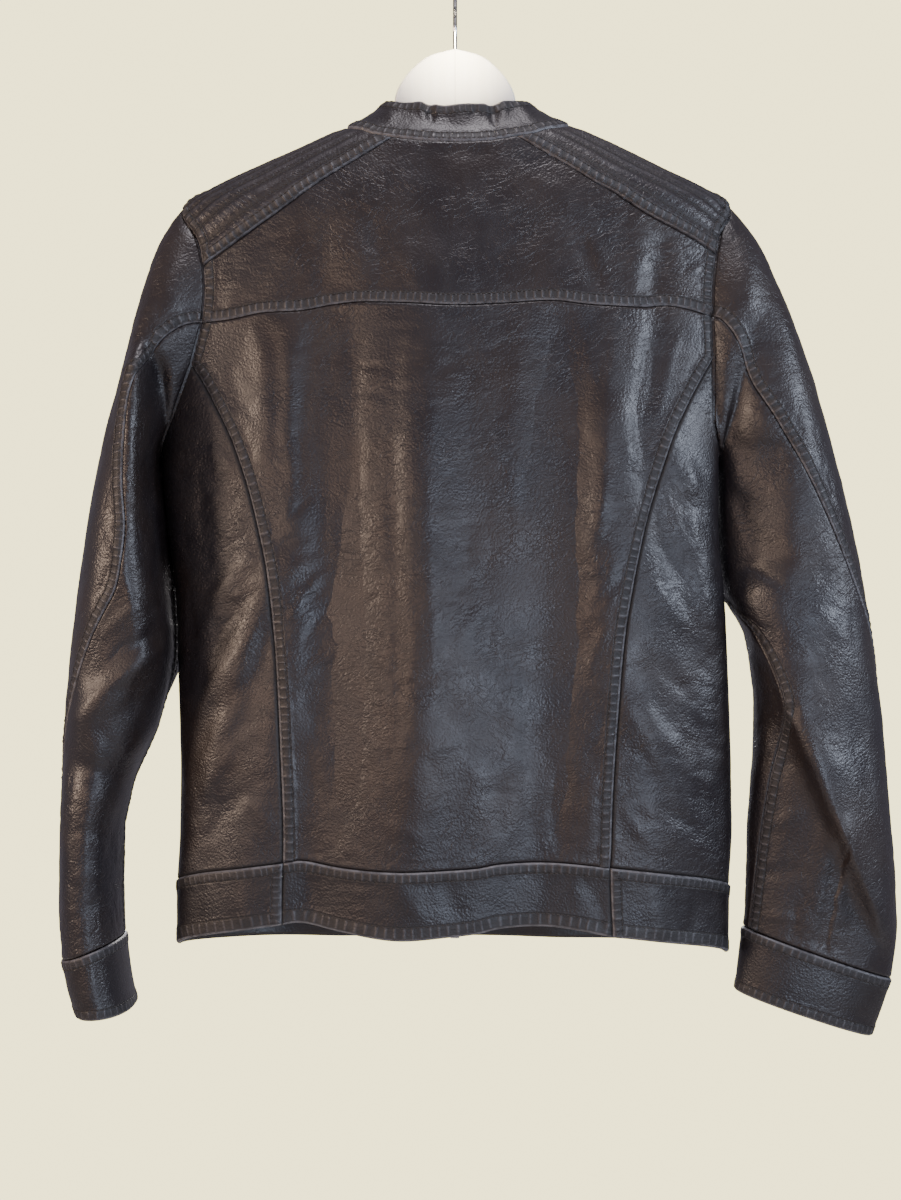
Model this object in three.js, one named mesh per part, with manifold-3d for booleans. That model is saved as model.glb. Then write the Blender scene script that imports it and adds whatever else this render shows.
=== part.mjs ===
// A short zip jacket of black-brown leather with a band collar, hanging on a wooden hanger.
// Millimetres, +Z up. The origin is where the hook bears. The back of the jacket faces -Y,
// the zip faces +Y, and +X is the wearer's right.

import * as THREE from 'three';
import Module from 'manifold-3d';
import { mergeVertices } from 'three/addons/utils/BufferGeometryUtils.js';

// ---- driving dimensions ----

const wall = 1.8;            // leather with its backing
const bandWall = 2.8;        // leather folded double: collar, hem band and cuffs
const seamGap = 0.3;         // between two pieces at a seam
const foldClear = 1;         // room at a seam where one piece folds back over the other
const leanAway = 0.12;       // a joined piece's edge leans this much off the edge it meets
const bandLift = 0.5;        // how far doubled leather stands over single leather
const widthPower = 2.3;      // squareness of the body's level section, across
const sleevePower = 2.15;    // squareness of a sleeve's section
const angleScale = 200;      // mm of seam plan for one radian round the body
const quiltHeight = 1.3;     // rise of each quilted channel
const frontEdge = 6;         // centre front to each front's edge

const wireRadius = 1.7;      // hook wire
const hookInside = 17;       // inner radius of the hook's bow
const hangerThickness = 13;
const hangerSeat = 2.6;      // hanger's top edge below the outside of the shoulder

// Pieces a seam is divided into, equal on both of its sides.
const parts = {
  shoulderAlong: 8, neckBack: 6, neckFront: 4, quiltChannels: 8,
  yokeDown: 4, centreArmhole: 1, princess: 13, sideAcross: 5, frontArmhole: 9,
  band: 2, collarUp: 3, sleeveDown: 19, pastUnderarm: 4,
};
const acrossBack = 2 * parts.shoulderAlong + parts.neckBack;
const acrossFront = parts.shoulderAlong + parts.neckFront;

// ---- tables: the body ----

// Level sections of the body: side edges as seen from behind, depth of back and front
// measured from the side line, the side line's own y, and the roundness over the depth.
const body = [
  { z: -98, left: -40, right: 43, back: 27, front: 30, leftY: 0, rightY: 0, round: 1.7 },
  { z: -112, left: -61, right: 67, back: 35, front: 37, leftY: 0, rightY: 0, round: 1.7 },
  { z: -124, left: -84, right: 93, back: 40, front: 42, leftY: 0, rightY: 0, round: 1.7 },
  { z: -143, left: -126, right: 135, back: 44, front: 46, leftY: 0, rightY: 0, round: 1.6 },
  { z: -161, left: -167, right: 173, back: 46, front: 49, leftY: 0, rightY: 0, round: 1.6 },
  { z: -177, left: -200, right: 205, back: 48, front: 51, leftY: 0, rightY: 0, round: 1.6 },
  { z: -188, left: -218, right: 222, back: 49, front: 52, leftY: 0, rightY: 0, round: 1.6 },
  { z: -200, left: -226, right: 226, back: 50, front: 53, leftY: 0, rightY: 0, round: 1.65 },
  { z: -225, left: -232, right: 228, back: 51, front: 55, leftY: 1, rightY: -1, round: 1.7 },
  { z: -260, left: -236, right: 227, back: 53, front: 57, leftY: 2, rightY: -3, round: 1.8 },
  { z: -300, left: -238, right: 223, back: 55, front: 59, leftY: 4, rightY: -6, round: 1.9 },
  { z: -350, left: -240, right: 217, back: 57, front: 61, leftY: 6, rightY: -9, round: 2.0 },
  { z: -392, left: -240, right: 213, back: 58, front: 62, leftY: 8, rightY: -12, round: 2.1 },
  { z: -450, left: -235, right: 213, back: 59, front: 63, leftY: 8, rightY: -12, round: 2.2 },
  { z: -510, left: -228, right: 218, back: 60, front: 64, leftY: 6, rightY: -10, round: 2.2 },
  { z: -560, left: -226, right: 221, back: 61, front: 64, leftY: 4, rightY: -6, round: 2.2 },
  { z: -640, left: -223.5, right: 224, back: 61, front: 64, leftY: 2, rightY: -3, round: 2.2 },
  { z: -700, left: -224, right: 225, back: 60, front: 63, leftY: 0, rightY: 0, round: 2.2 },
  { z: -740, left: -226, right: 223, back: 59, front: 62, leftY: 0, rightY: 0, round: 2.2 },
  { z: -810, left: -226, right: 222, back: 58, front: 62, leftY: 0, rightY: 0, round: 2.2 },
];

// Upright folds: where each runs from and to, its half width, and how far it stands out
// (or in, when negative) at either end.
const backFolds = [
  { topX: -150, topZ: -300, lowX: -186, lowZ: -800, wide: 30, atTop: 2.5, atLow: 6 },
  { topX: -92, topZ: -270, lowX: -118, lowZ: -800, wide: 26, atTop: -3.5, atLow: -8 },
  { topX: -18, topZ: -250, lowX: -46, lowZ: -800, wide: 40, atTop: 3, atLow: 6 },
  { topX: 84, topZ: -290, lowX: 58, lowZ: -800, wide: 32, atTop: -2.5, atLow: -8 },
  { topX: 128, topZ: -290, lowX: 172, lowZ: -800, wide: 30, atTop: 2.5, atLow: 6 },
  { topX: 160, topZ: -270, lowX: 158, lowZ: -420, wide: 12, atTop: -4, atLow: -1 },
  { topX: 100, topZ: -170, lowX: 92, lowZ: -270, wide: 26, atTop: 1.5, atLow: 2.5 },
  { topX: -70, topZ: -170, lowX: -84, lowZ: -270, wide: 22, atTop: 1, atLow: 2.5 },
];
const sideFolds = [
  { topX: -152, topZ: -500, lowX: -200, lowZ: -650, wide: 13, atTop: 4, atLow: 5 },
  { topX: -150, topZ: -545, lowX: -196, lowZ: -720, wide: 15, atTop: -4, atLow: -4 },
  { topX: 176, topZ: -400, lowX: 206, lowZ: -500, wide: 12, atTop: 4, atLow: 5 },
  { topX: 160, topZ: -440, lowX: 196, lowZ: -560, wide: 14, atTop: -3, atLow: -4 },
  { topX: 148, topZ: -610, lowX: 204, lowZ: -715, wide: 14, atTop: 4, atLow: 5 },
];
const frontFolds = [
  { topX: -150, topZ: -330, lowX: -160, lowZ: -800, wide: 34, atTop: 3, atLow: 5 },
  { topX: -85, topZ: -290, lowX: -92, lowZ: -800, wide: 28, atTop: -3, atLow: -6 },
  { topX: 90, topZ: -290, lowX: 84, lowZ: -800, wide: 30, atTop: -3, atLow: -5 },
  { topX: 150, topZ: -330, lowX: 160, lowZ: -800, wide: 30, atTop: 3, atLow: 5 },
];
const foldFade = 40;         // a fold dies out over this length past its ends

// ---- tables: seams, as seen from behind, and from behind through to the front ----

const seams = {
  left: {
    ridge: 0,
    neckZ: -124.5, tipZ: -188, underarmZ: -391,
    neckBackCorner: { x: -50, z: -142 }, neckFrontCorner: { x: -64, z: -146 },
    neckBackHalf: [{ x: -66, z: -138 }, { x: -78, z: -132 }],
    neckFrontHalf: [{ x: -78, z: -132 }],
    neckFront: [{ x: -46, z: -161 }, { x: -26, z: -171 }],
    shoulderBack: [{ x: -92, z: -168 }, { x: -132, z: -195 }, { x: -172, z: -222 }],
    shoulderFront: [{ x: -108, z: -168 }, { x: -158, z: -200 }],
    armBackCorner: { x: -202, z: -242 }, armFrontCorner: { x: -203, z: -229 },
    armBackShoulder: [{ x: -211, z: -214 }],
    armFrontShoulder: [{ x: -212, z: -208 }],
    yokeEnd: { x: -203, z: -288 }, armYoke: [{ x: -201, z: -263 }],
    princessTop: { x: -212, z: -321 },
    armSide: [{ x: -222, z: -346 }, { x: -232, z: -368 }],
    armFront: [{ x: -199, z: -262 }, { x: -201, z: -300 }, { x: -212, z: -340 }, { x: -229, z: -372 }],
    princess: [
      { x: -202, z: -336 }, { x: -190, z: -358 }, { x: -177, z: -385 }, { x: -166, z: -416 },
      { x: -157, z: -450 }, { x: -150, z: -482 }, { x: -145, z: -520 }, { x: -141, z: -570 },
      { x: -138, z: -630 }, { x: -136, z: -680 },
    ],
    hemSideZ: -738, bottomSideZ: -790,
  },
  right: {
    ridge: Math.PI,
    neckZ: -122, tipZ: -188, underarmZ: -393,
    neckBackCorner: { x: 49, z: -141 }, neckFrontCorner: { x: 64, z: -146 },
    neckBackHalf: [{ x: 62, z: -138.5 }, { x: 78, z: -132 }],
    neckFrontHalf: [{ x: 79, z: -132 }],
    neckFront: [{ x: 46, z: -161 }, { x: 26, z: -171 }],
    shoulderBack: [{ x: 84, z: -162 }, { x: 118, z: -182 }, { x: 158, z: -205 }],
    shoulderFront: [{ x: 108, z: -168 }, { x: 160, z: -198 }],
    armBackCorner: { x: 210, z: -232 }, armFrontCorner: { x: 206, z: -227 },
    armBackShoulder: [{ x: 216, z: -210 }],
    armFrontShoulder: [{ x: 215, z: -207 }],
    yokeEnd: { x: 206, z: -283 }, armYoke: [{ x: 207, z: -257 }],
    princessTop: { x: 207, z: -316 },
    armSide: [{ x: 207, z: -345 }, { x: 208.5, z: -370 }],
    armFront: [{ x: 203, z: -262 }, { x: 199, z: -300 }, { x: 198, z: -340 }, { x: 204, z: -372 }],
    princess: [
      { x: 197, z: -333 }, { x: 186, z: -353 }, { x: 174, z: -378 }, { x: 164, z: -405 },
      { x: 154, z: -437 }, { x: 146, z: -468 }, { x: 139, z: -503 }, { x: 133, z: -542 },
      { x: 128, z: -600 }, { x: 124, z: -665 },
    ],
    hemSideZ: -742, bottomSideZ: -797,
  },
};
const neckBack = [{ x: -24, z: -145.5 }, { x: -1, z: -146.5 }, { x: 25, z: -145.5 }];
const neckFrontZ = -176;
const yokeSeam = [
  { x: -178, z: -286 }, { x: -154, z: -282 }, { x: -123, z: -281 }, { x: -99, z: -277 },
  { x: -75, z: -275 }, { x: -40, z: -276 }, { x: -2, z: -278 }, { x: 35, z: -276.5 },
  { x: 75, z: -274 }, { x: 107, z: -277 }, { x: 146, z: -278 }, { x: 172, z: -276 },
];
const hemCorners = {
  leftPrincess: { x: -136, z: -718 }, rightPrincess: { x: 122, z: -721 },
  leftFront: { x: -frontEdge, z: -747 }, rightFront: { x: frontEdge, z: -747 },
};
const bottomCorners = {
  leftPrincess: { x: -137, z: -767 }, rightPrincess: { x: 124, z: -776 },
  leftFront: { x: -frontEdge, z: -794 }, rightFront: { x: frontEdge, z: -794 },
};
const hemCentre = [
  { x: -121, z: -716 }, { x: -91, z: -720.5 }, { x: -44, z: -723 }, { x: 12, z: -721 },
  { x: 38, z: -717.5 }, { x: 80, z: -717 },
];
const bottomCentre = [
  { x: -121, z: -765.5 }, { x: -91, z: -771 }, { x: -44, z: -777 }, { x: 12, z: -773 },
  { x: 38, z: -768.5 }, { x: 80, z: -768 },
];

// ---- tables: sleeves and cuffs ----

// Sections across a sleeve from its outer to its inner edge, with the depth of its back and
// front measured from the y of those edges.
const sleeves = {
  left: [
    { outX: -218, outZ: -188, inX: -240, inZ: -391, back: 40, front: 42, outY: 0, inY: 8 },
    { outX: -236, outZ: -208, inX: -243, inZ: -395, back: 44, front: 46, outY: 0, inY: 4 },
    { outX: -248, outZ: -234, inX: -244, inZ: -400, back: 47, front: 50, outY: 0, inY: 0 },
    { outX: -257, outZ: -266, inX: -244, inZ: -406, back: 50, front: 54, outY: 0, inY: -4 },
    { outX: -264, outZ: -300, inX: -243.5, inZ: -414, back: 53, front: 58, outY: 0, inY: -8 },
    { outX: -273, outZ: -340, inX: -242.5, inZ: -427, back: 56, front: 62, outY: 0, inY: -12 },
    { outX: -284, outZ: -382, inX: -241, inZ: -444, back: 58, front: 66, outY: 0, inY: -14 },
    { outX: -294, outZ: -430, inX: -239, inZ: -468, back: 59, front: 68, outY: 0, inY: -14 },
    { outX: -303, outZ: -485, inX: -235, inZ: -502, back: 60, front: 67, outY: 0, inY: -12 },
    { outX: -311, outZ: -545, inX: -231, inZ: -550, back: 59, front: 62, outY: 0, inY: -6 },
    { outX: -316, outZ: -610, inX: -242, inZ: -608, back: 56, front: 56, outY: 0, inY: 0 },
    { outX: -319, outZ: -673, inX: -264, inZ: -662, back: 53, front: 52, outY: 0, inY: 0 },
    { outX: -320, outZ: -714, inX: -271, inZ: -698, back: 52, front: 50, outY: 0, inY: 0 },
    { outX: -321, outZ: -756, inX: -272, inZ: -738, back: 51, front: 49, outY: 0, inY: 0 },
    { outX: -318, outZ: -799, inX: -270, inZ: -782, back: 50, front: 48, outY: 0, inY: 0 },
  ],
  right: [
    { outX: 222, outZ: -188, inX: 213, inZ: -393, back: 32, front: 46, outY: 0, inY: -12 },
    { outX: 237, outZ: -204, inX: 217, inZ: -395, back: 38, front: 46, outY: 2, inY: -8 },
    { outX: 252, outZ: -224, inX: 217, inZ: -400, back: 42, front: 46, outY: 4, inY: 0 },
    { outX: 265, outZ: -254, inX: 212, inZ: -408, back: 44, front: 44, outY: 6, inY: 16 },
    { outX: 278, outZ: -290, inX: 211, inZ: -416, back: 48, front: 42, outY: 7, inY: 20 },
    { outX: 293, outZ: -332, inX: 210, inZ: -428, back: 51, front: 40, outY: 8, inY: 22 },
    { outX: 307, outZ: -380, inX: 210, inZ: -446, back: 52, front: 40, outY: 8, inY: 22 },
    { outX: 320, outZ: -430, inX: 211, inZ: -470, back: 51, front: 40, outY: 8, inY: 20 },
    { outX: 332, outZ: -490, inX: 218, inZ: -502, back: 47, front: 38, outY: 6, inY: 14 },
    { outX: 341, outZ: -550, inX: 236, inZ: -540, back: 42, front: 36, outY: 4, inY: 6 },
    { outX: 348, outZ: -615, inX: 243, inZ: -598, back: 36, front: 33, outY: 2, inY: 2 },
    { outX: 354, outZ: -681, inX: 241, inZ: -655, back: 32, front: 30, outY: 0, inY: 0 },
    { outX: 358, outZ: -730, inX: 238, inZ: -700, back: 29, front: 28, outY: 0, inY: 0 },
    { outX: 359.5, outZ: -775, inX: 236, inZ: -741, back: 27, front: 26, outY: 0, inY: 0 },
    { outX: 355, outZ: -817, inX: 234.5, inZ: -775, back: 26, front: 25, outY: 0, inY: 0 },
  ],
};
const armholeRows = 4.5;     // sections over which the armhole's shape turns into the sleeve's

// The hind seam between upper and under sleeve, and the inner seam, as angles round the
// section from the outer edge over the back, at sections of the table above.
const sleeveSeams = {
  left: [
    { at: 3, hind: 95, inner: 235 }, { at: 6, hind: 90, inner: 225 }, { at: 7, hind: 107, inner: 215 },
    { at: 8, hind: 103, inner: 205 }, { at: 9, hind: 64, inner: 200 }, { at: 10, hind: 34, inner: 196 },
    { at: 11, hind: 4, inner: 192 }, { at: 12, hind: -14, inner: 190 }, { at: 14, hind: -20, inner: 188 },
  ],
  right: [
    { at: 3, hind: 98, inner: 235 }, { at: 5, hind: 98, inner: 225 }, { at: 6, hind: 72, inner: 215 },
    { at: 7, hind: 55, inner: 205 }, { at: 8, hind: 38, inner: 196 }, { at: 9, hind: 12, inner: 172 },
    { at: 10, hind: -8, inner: 150 }, { at: 11, hind: -18, inner: 158 }, { at: 14, hind: -20, inner: 178 },
  ],
};

// Sleeve folds seen from behind: a ridge from start to end. The slope past it, on the side
// that `falls` points to, is steep, and the other side is easy.
const sleeveFolds = {
  left: [
    { fromX: -252, fromZ: -330, toX: -238, toZ: -560, rise: 7, easy: 18, steep: 10, falls: 1 },
    { fromX: -236, fromZ: -335, toX: -234, toZ: -372, rise: -9, easy: 12, steep: 12, falls: 1 },
    { fromX: -240, fromZ: -555, toX: -296, toZ: -600, rise: 5, easy: 16, steep: 10, falls: -1 },
    { fromX: -262, fromZ: -650, toX: -312, toZ: -640, rise: -5, easy: 16, steep: 14, falls: -1 },
  ],
  right: [
    { fromX: 226, fromZ: -512, toX: 352, toZ: -792, rise: 13, easy: 44, steep: 9, falls: -1 },
    { fromX: 250, fromZ: -395, toX: 232, toZ: -500, rise: -6, easy: 20, steep: 20, falls: -1 },
    { fromX: 300, fromZ: -700, toX: 290, toZ: -790, rise: 4, easy: 16, steep: 14, falls: -1 },
  ],
};
const sleeveFoldFade = 26;
const sleeveCrowding = 1.12;  // above 1 the sleeve's rows lie closer near the armhole
const foldsOnset = 2;         // sections below the armhole at which the folds are whole
const foldsEnd = 1.5;         // and the sections above the cuff at which they fade

const cuffs = {
  left: [
    { outX: -318, outZ: -799, inX: -270, inZ: -782, back: 50, front: 48 },
    { outX: -313, outZ: -822, inX: -266, inZ: -812, back: 50, front: 48 },
    { outX: -306, outZ: -844, inX: -261, inZ: -840, back: 49, front: 47 },
  ],
  right: [
    { outX: 355, outZ: -817, inX: 234.5, inZ: -775, back: 26, front: 25 },
    { outX: 347, outZ: -841, inX: 231, inZ: -801, back: 26, front: 25 },
    { outX: 338, outZ: -864, inX: 228, inZ: -827, back: 25, front: 24 },
  ],
};

// ---- tables: collar ----

const collarTop = { middleX: 1, halfWidth: 57.5, back: 30, front: 36, sideZ: -105, backDrop: 9, frontDrop: 36 };
const collarFoot = { halfWidth: 83, halfDepth: 50, middleZ: -135, lowZ: -175, rowHeight: 20 };
const collarHollow = 2.4;    // how far the band is drawn in between its two edges
const cuffDrop = 0.6;        // the cuff's top edge below the sleeve's end

// ---- small helpers ----

const clamp = (value, low, high) => Math.min(high, Math.max(low, value));
const mix = (a, b, t) => a + (b - a) * t;
const smooth = (t) => {
  const x = clamp(t, 0, 1);
  return x * x * (3 - 2 * x);
};
const signedPower = (value, power) => Math.sign(value) * Math.pow(Math.abs(value), power);

// A value read from a table's column, on a smooth curve that never overshoots its rows.
function read(rows, key, column, at) {
  const forward = rows[rows.length - 1][key] > rows[0][key];
  const x = (row) => (forward ? row[key] : -row[key]);
  const target = clamp(forward ? at : -at, x(rows[0]), x(rows[rows.length - 1]));
  let i = 0;
  while (i < rows.length - 2 && target > x(rows[i + 1])) i += 1;
  const slope = (k) => (rows[k + 1][column] - rows[k][column]) / (x(rows[k + 1]) - x(rows[k]));
  const tangent = (k) => {
    if (k === 0) return slope(0);
    if (k === rows.length - 1) return slope(k - 1);
    const before = slope(k - 1);
    const after = slope(k);
    return before * after <= 0 ? 0 : (2 * before * after) / (before + after);
  };
  const span = x(rows[i + 1]) - x(rows[i]);
  const t = (target - x(rows[i])) / span;
  const t2 = t * t;
  const t3 = t2 * t;
  return (2 * t3 - 3 * t2 + 1) * rows[i][column] + (t3 - 2 * t2 + t) * span * tangent(i)
    + (3 * t2 - 2 * t3) * rows[i + 1][column] + (t3 - t2) * span * tangent(i + 1);
}

// ---- the body's surface ----
// The angle runs 0 at the left side, pi/2 at the centre back, pi at the right side and
// 3 pi/2 (or -pi/2) at the centre front.

function foldHeight(folds, x, z) {
  let height = 0;
  for (const fold of folds) {
    const t = (fold.topZ - z) / (fold.topZ - fold.lowZ);
    const past = Math.max(0, z - fold.topZ, fold.lowZ - z);
    if (past >= foldFade) continue;
    const across = (x - mix(fold.topX, fold.lowX, t)) / fold.wide;
    const strength = mix(fold.atTop, fold.atLow, clamp(t, 0, 1)) * smooth(1 - past / foldFade);
    height += strength * Math.exp(-across * across);
  }
  return height;
}

function bodyPoint(angle, z) {
  const left = read(body, 'z', 'left', z);
  const right = read(body, 'z', 'right', z);
  const isBack = Math.sin(angle) >= 0;
  const depth = read(body, 'z', isBack ? 'back' : 'front', z);
  const leftY = read(body, 'z', 'leftY', z);
  const rightY = read(body, 'z', 'rightY', z);
  const cos = Math.cos(angle);
  const sin = Math.sin(angle);
  const x = (cos > 0 ? left : right) * Math.pow(Math.abs(cos), 2 / widthPower);
  const sideY = (leftY + rightY) / 2 + ((leftY - rightY) / 2) * cos;
  const y = sideY - depth * signedPower(sin, 2 / read(body, 'z', 'round', z));
  const folds = isBack
    ? foldHeight(backFolds, x, z) + foldHeight(sideFolds, x, z)
    : foldHeight(frontFolds, x, z);
  return new THREE.Vector3(x, y - folds * sin, z);
}

function bodyNormal(angle, z) {
  const da = 0.004;
  const dz = 0.6;
  const across = bodyPoint(angle + da, z).sub(bodyPoint(angle - da, z));
  const up = bodyPoint(angle, z + dz).sub(bodyPoint(angle, z - dz));
  return across.cross(up).normalize();
}

// Seam plans: points (angle * angleScale, z).
function onBody(point, face) {
  const isLeft = point.x < 0;
  const edge = read(body, 'z', isLeft ? 'left' : 'right', point.z);
  const cos = Math.pow(Math.min(1, point.x / edge), widthPower / 2);
  const angle = Math.acos(isLeft ? cos : -cos);
  if (face === 'back') return new THREE.Vector2(angle * angleScale, point.z);
  const front = isLeft ? -angle : 2 * Math.PI - angle;
  return new THREE.Vector2(front * angleScale, point.z);
}
const onSide = (side, z) => new THREE.Vector2(seams[side].ridge * angleScale, z);

const plan = (points, count) => new THREE.SplineCurve(points).getSpacedPoints(count);
const straight = (from, to, count) => new THREE.LineCurve(from, to).getSpacedPoints(count);
const chain = (...runs) => runs.reduce((all, run) => all.concat(run.slice(1)));
const reversed = (run) => [...run].reverse();

// A patch of the body between four seam runs, as rows of (angle, z).
function patch(bottom, top, left, right) {
  const across = bottom.length - 1;
  const up = left.length - 1;
  const rows = [];
  for (let j = 0; j <= up; j += 1) {
    const v = j / up;
    const row = [];
    for (let i = 0; i <= across; i += 1) {
      const u = i / across;
      const mixOf = (key) => mix(bottom[i][key], top[i][key], v) + mix(left[j][key], right[j][key], u)
        - mix(mix(bottom[0][key], bottom[across][key], u), mix(top[0][key], top[across][key], u), v);
      row.push({ angle: mixOf('x') / angleScale, z: mixOf('y') });
    }
    rows.push(row);
  }
  return rows;
}

// ---- walls ----

// A closed wall between an outer and an inner net of points. A ring's net is joined round.
function wallGeometry(outer, inner, ring = false) {
  const rows = outer.length;
  const columns = outer[0].length;
  const positions = [];
  for (const net of [outer, inner]) {
    for (const row of net) for (const p of row) positions.push(p.x, p.y, p.z);
  }
  const at = (layer, j, i) => layer * rows * columns + j * columns + (i % columns);
  const steps = ring ? columns : columns - 1;
  const index = [];
  const quad = (a, b, c, d) => index.push(a, b, c, a, c, d);
  for (let j = 0; j < rows - 1; j += 1) {
    for (let i = 0; i < steps; i += 1) {
      quad(at(0, j, i), at(0, j, i + 1), at(0, j + 1, i + 1), at(0, j + 1, i));
      quad(at(1, j, i), at(1, j + 1, i), at(1, j + 1, i + 1), at(1, j, i + 1));
    }
  }
  for (let i = 0; i < steps; i += 1) {
    quad(at(0, 0, i), at(1, 0, i), at(1, 0, i + 1), at(0, 0, i + 1));
    quad(at(0, rows - 1, i), at(0, rows - 1, i + 1), at(1, rows - 1, i + 1), at(1, rows - 1, i));
  }
  if (!ring) {
    for (let j = 0; j < rows - 1; j += 1) {
      quad(at(0, j, 0), at(0, j + 1, 0), at(1, j + 1, 0), at(1, j, 0));
      const last = columns - 1;
      quad(at(0, j, last), at(1, j, last), at(1, j + 1, last), at(0, j + 1, last));
    }
  }
  const geometry = new THREE.BufferGeometry();
  geometry.setAttribute('position', new THREE.Float32BufferAttribute(positions, 3));
  geometry.setIndex(index);
  return facedOut(geometry);
}

function facedOut(geometry) {
  const p = geometry.attributes.position;
  const index = geometry.index.array;
  const corner = (k) => new THREE.Vector3().fromBufferAttribute(p, index[k]);
  let volume = 0;
  for (let k = 0; k < index.length; k += 3) {
    volume += corner(k).dot(corner(k + 1).cross(corner(k + 2)));
  }
  if (volume < 0) {
    const turned = [];
    for (let k = 0; k < index.length; k += 3) turned.push(index[k], index[k + 2], index[k + 1]);
    geometry.setIndex(turned);
  }
  geometry.computeVertexNormals();
  return geometry;
}

// Half a seam gap is taken off each free edge of a net, square to the edge.
function trimmed(net, normals) {
  const rows = net.length;
  const columns = net[0].length;
  const moved = net.map((row) => row.map((p) => p.clone()));
  const pull = (j, i, dj, di, tj, ti) => {
    const before = net[clamp(j - tj, 0, rows - 1)][clamp(i - ti, 0, columns - 1)];
    const after = net[clamp(j + tj, 0, rows - 1)][clamp(i + ti, 0, columns - 1)];
    const inward = normals[j][i].clone().cross(after.clone().sub(before)).normalize();
    if (inward.dot(net[j + dj][i + di].clone().sub(net[j][i])) < 0) inward.negate();
    moved[j][i].addScaledVector(inward, seamGap / 2);
  };
  for (let i = 0; i < columns; i += 1) {
    pull(0, i, 1, 0, 0, 1);
    pull(rows - 1, i, -1, 0, 0, 1);
  }
  for (let j = 0; j < rows; j += 1) {
    pull(j, 0, 0, 1, 1, 0);
    pull(j, columns - 1, 0, -1, 1, 0);
  }
  return moved;
}

// A wall on the body's surface. `lift` raises both faces, `raise(v, u)` only the outer one,
// and `straighten` keeps every second point of the end rows on the line of its neighbours.
function bodyWall(rows, { thickness = wall, lift = 0, raise = null, straighten = false } = {}) {
  const surface = rows.map((row) => row.map((p) => bodyPoint(p.angle, p.z)));
  const normals = rows.map((row) => row.map((p) => bodyNormal(p.angle, p.z)));
  if (straighten) {
    for (const j of [0, rows.length - 1]) {
      for (let i = 1; i < surface[j].length - 1; i += 2) {
        surface[j][i].copy(surface[j][i - 1]).add(surface[j][i + 1]).multiplyScalar(0.5);
        normals[j][i].copy(normals[j][i - 1]).add(normals[j][i + 1]).normalize();
      }
    }
  }
  const flat = trimmed(surface, normals);
  const offset = (depth) => flat.map((row, j) => row.map((p, i) => {
    const extra = raise && depth > -thickness + lift ? raise(j / (rows.length - 1), i / (row.length - 1)) : 0;
    return p.clone().addScaledVector(normals[j][i], depth + extra);
  }));
  return wallGeometry(offset(lift), offset(lift - thickness));
}

// ---- seam runs shared by neighbouring pieces ----

const run = {};
for (const side of ['left', 'right']) {
  const s = seams[side];
  const back = (p) => onBody(p, 'back');
  const front = (p) => onBody(p, 'front');
  const half = parts.quiltChannels;
  const frontTop = { x: side === 'left' ? -frontEdge : frontEdge, z: neckFrontZ };
  const centre = side === 'left' ? 'leftFront' : 'rightFront';
  const princess = side === 'left' ? 'leftPrincess' : 'rightPrincess';
  run[side] = {
    neckShoulder: chain(
      plan([back(s.neckBackCorner), ...s.neckBackHalf.map(back), onSide(side, s.neckZ)], half),
      plan([onSide(side, s.neckZ), ...s.neckFrontHalf.map(front), front(s.neckFrontCorner)], half)),
    neckFront: plan([front(s.neckFrontCorner), ...s.neckFront.map(front), front(frontTop)], parts.neckFront),
    shoulderBack: plan([back(s.neckBackCorner), ...s.shoulderBack.map(back), back(s.armBackCorner)],
      parts.shoulderAlong),
    shoulderFront: plan([front(s.neckFrontCorner), ...s.shoulderFront.map(front), front(s.armFrontCorner)],
      parts.shoulderAlong),
    armShoulder: chain(
      plan([back(s.armBackCorner), ...s.armBackShoulder.map(back), onSide(side, s.tipZ)], half),
      plan([onSide(side, s.tipZ), ...s.armFrontShoulder.map(front), front(s.armFrontCorner)], half)),
    armYoke: plan([back(s.armBackCorner), ...s.armYoke.map(back), back(s.yokeEnd)], parts.yokeDown),
    armCentre: plan([back(s.yokeEnd), back(s.princessTop)], parts.centreArmhole),
    armSide: plan([back(s.princessTop), ...s.armSide.map(back), onSide(side, s.underarmZ)], parts.sideAcross),
    armFront: plan([onSide(side, s.underarmZ), ...reversed(s.armFront).map(front), front(s.armFrontCorner)],
      parts.frontArmhole),
    princess: plan([back(s.princessTop), ...s.princess.map(back), back(hemCorners[princess])], parts.princess),
    sideSeam: straight(onSide(side, s.underarmZ), onSide(side, s.hemSideZ), parts.princess),
    bandSide: straight(onSide(side, s.hemSideZ), onSide(side, s.bottomSideZ), parts.band),
    bandPrincess: straight(back(hemCorners[princess]), back(bottomCorners[princess]), parts.band),
    hemSide: plan([back(hemCorners[princess]), onSide(side, s.hemSideZ)], parts.sideAcross),
    bottomSide: plan([back(bottomCorners[princess]), onSide(side, s.bottomSideZ)], parts.sideAcross),
    hemFront: plan([onSide(side, s.hemSideZ), front(hemCorners[centre])], acrossFront),
    bottomFront: plan([onSide(side, s.bottomSideZ), front(bottomCorners[centre])], acrossFront),
    bandCentre: straight(front(hemCorners[centre]), front(bottomCorners[centre]), parts.band),
    centreFront: straight(front(frontTop), front(hemCorners[centre]), parts.princess + parts.frontArmhole),
  };
}
run.neckBack = plan([
  onBody(seams.left.neckBackCorner, 'back'), ...neckBack.map((p) => onBody(p, 'back')),
  onBody(seams.right.neckBackCorner, 'back')], parts.neckBack);
run.yoke = plan([
  onBody(seams.left.yokeEnd, 'back'), ...yokeSeam.map((p) => onBody(p, 'back')),
  onBody(seams.right.yokeEnd, 'back')], acrossBack);
run.hemCentre = plan([
  onBody(hemCorners.leftPrincess, 'back'), ...hemCentre.map((p) => onBody(p, 'back')),
  onBody(hemCorners.rightPrincess, 'back')], acrossBack);
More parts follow.
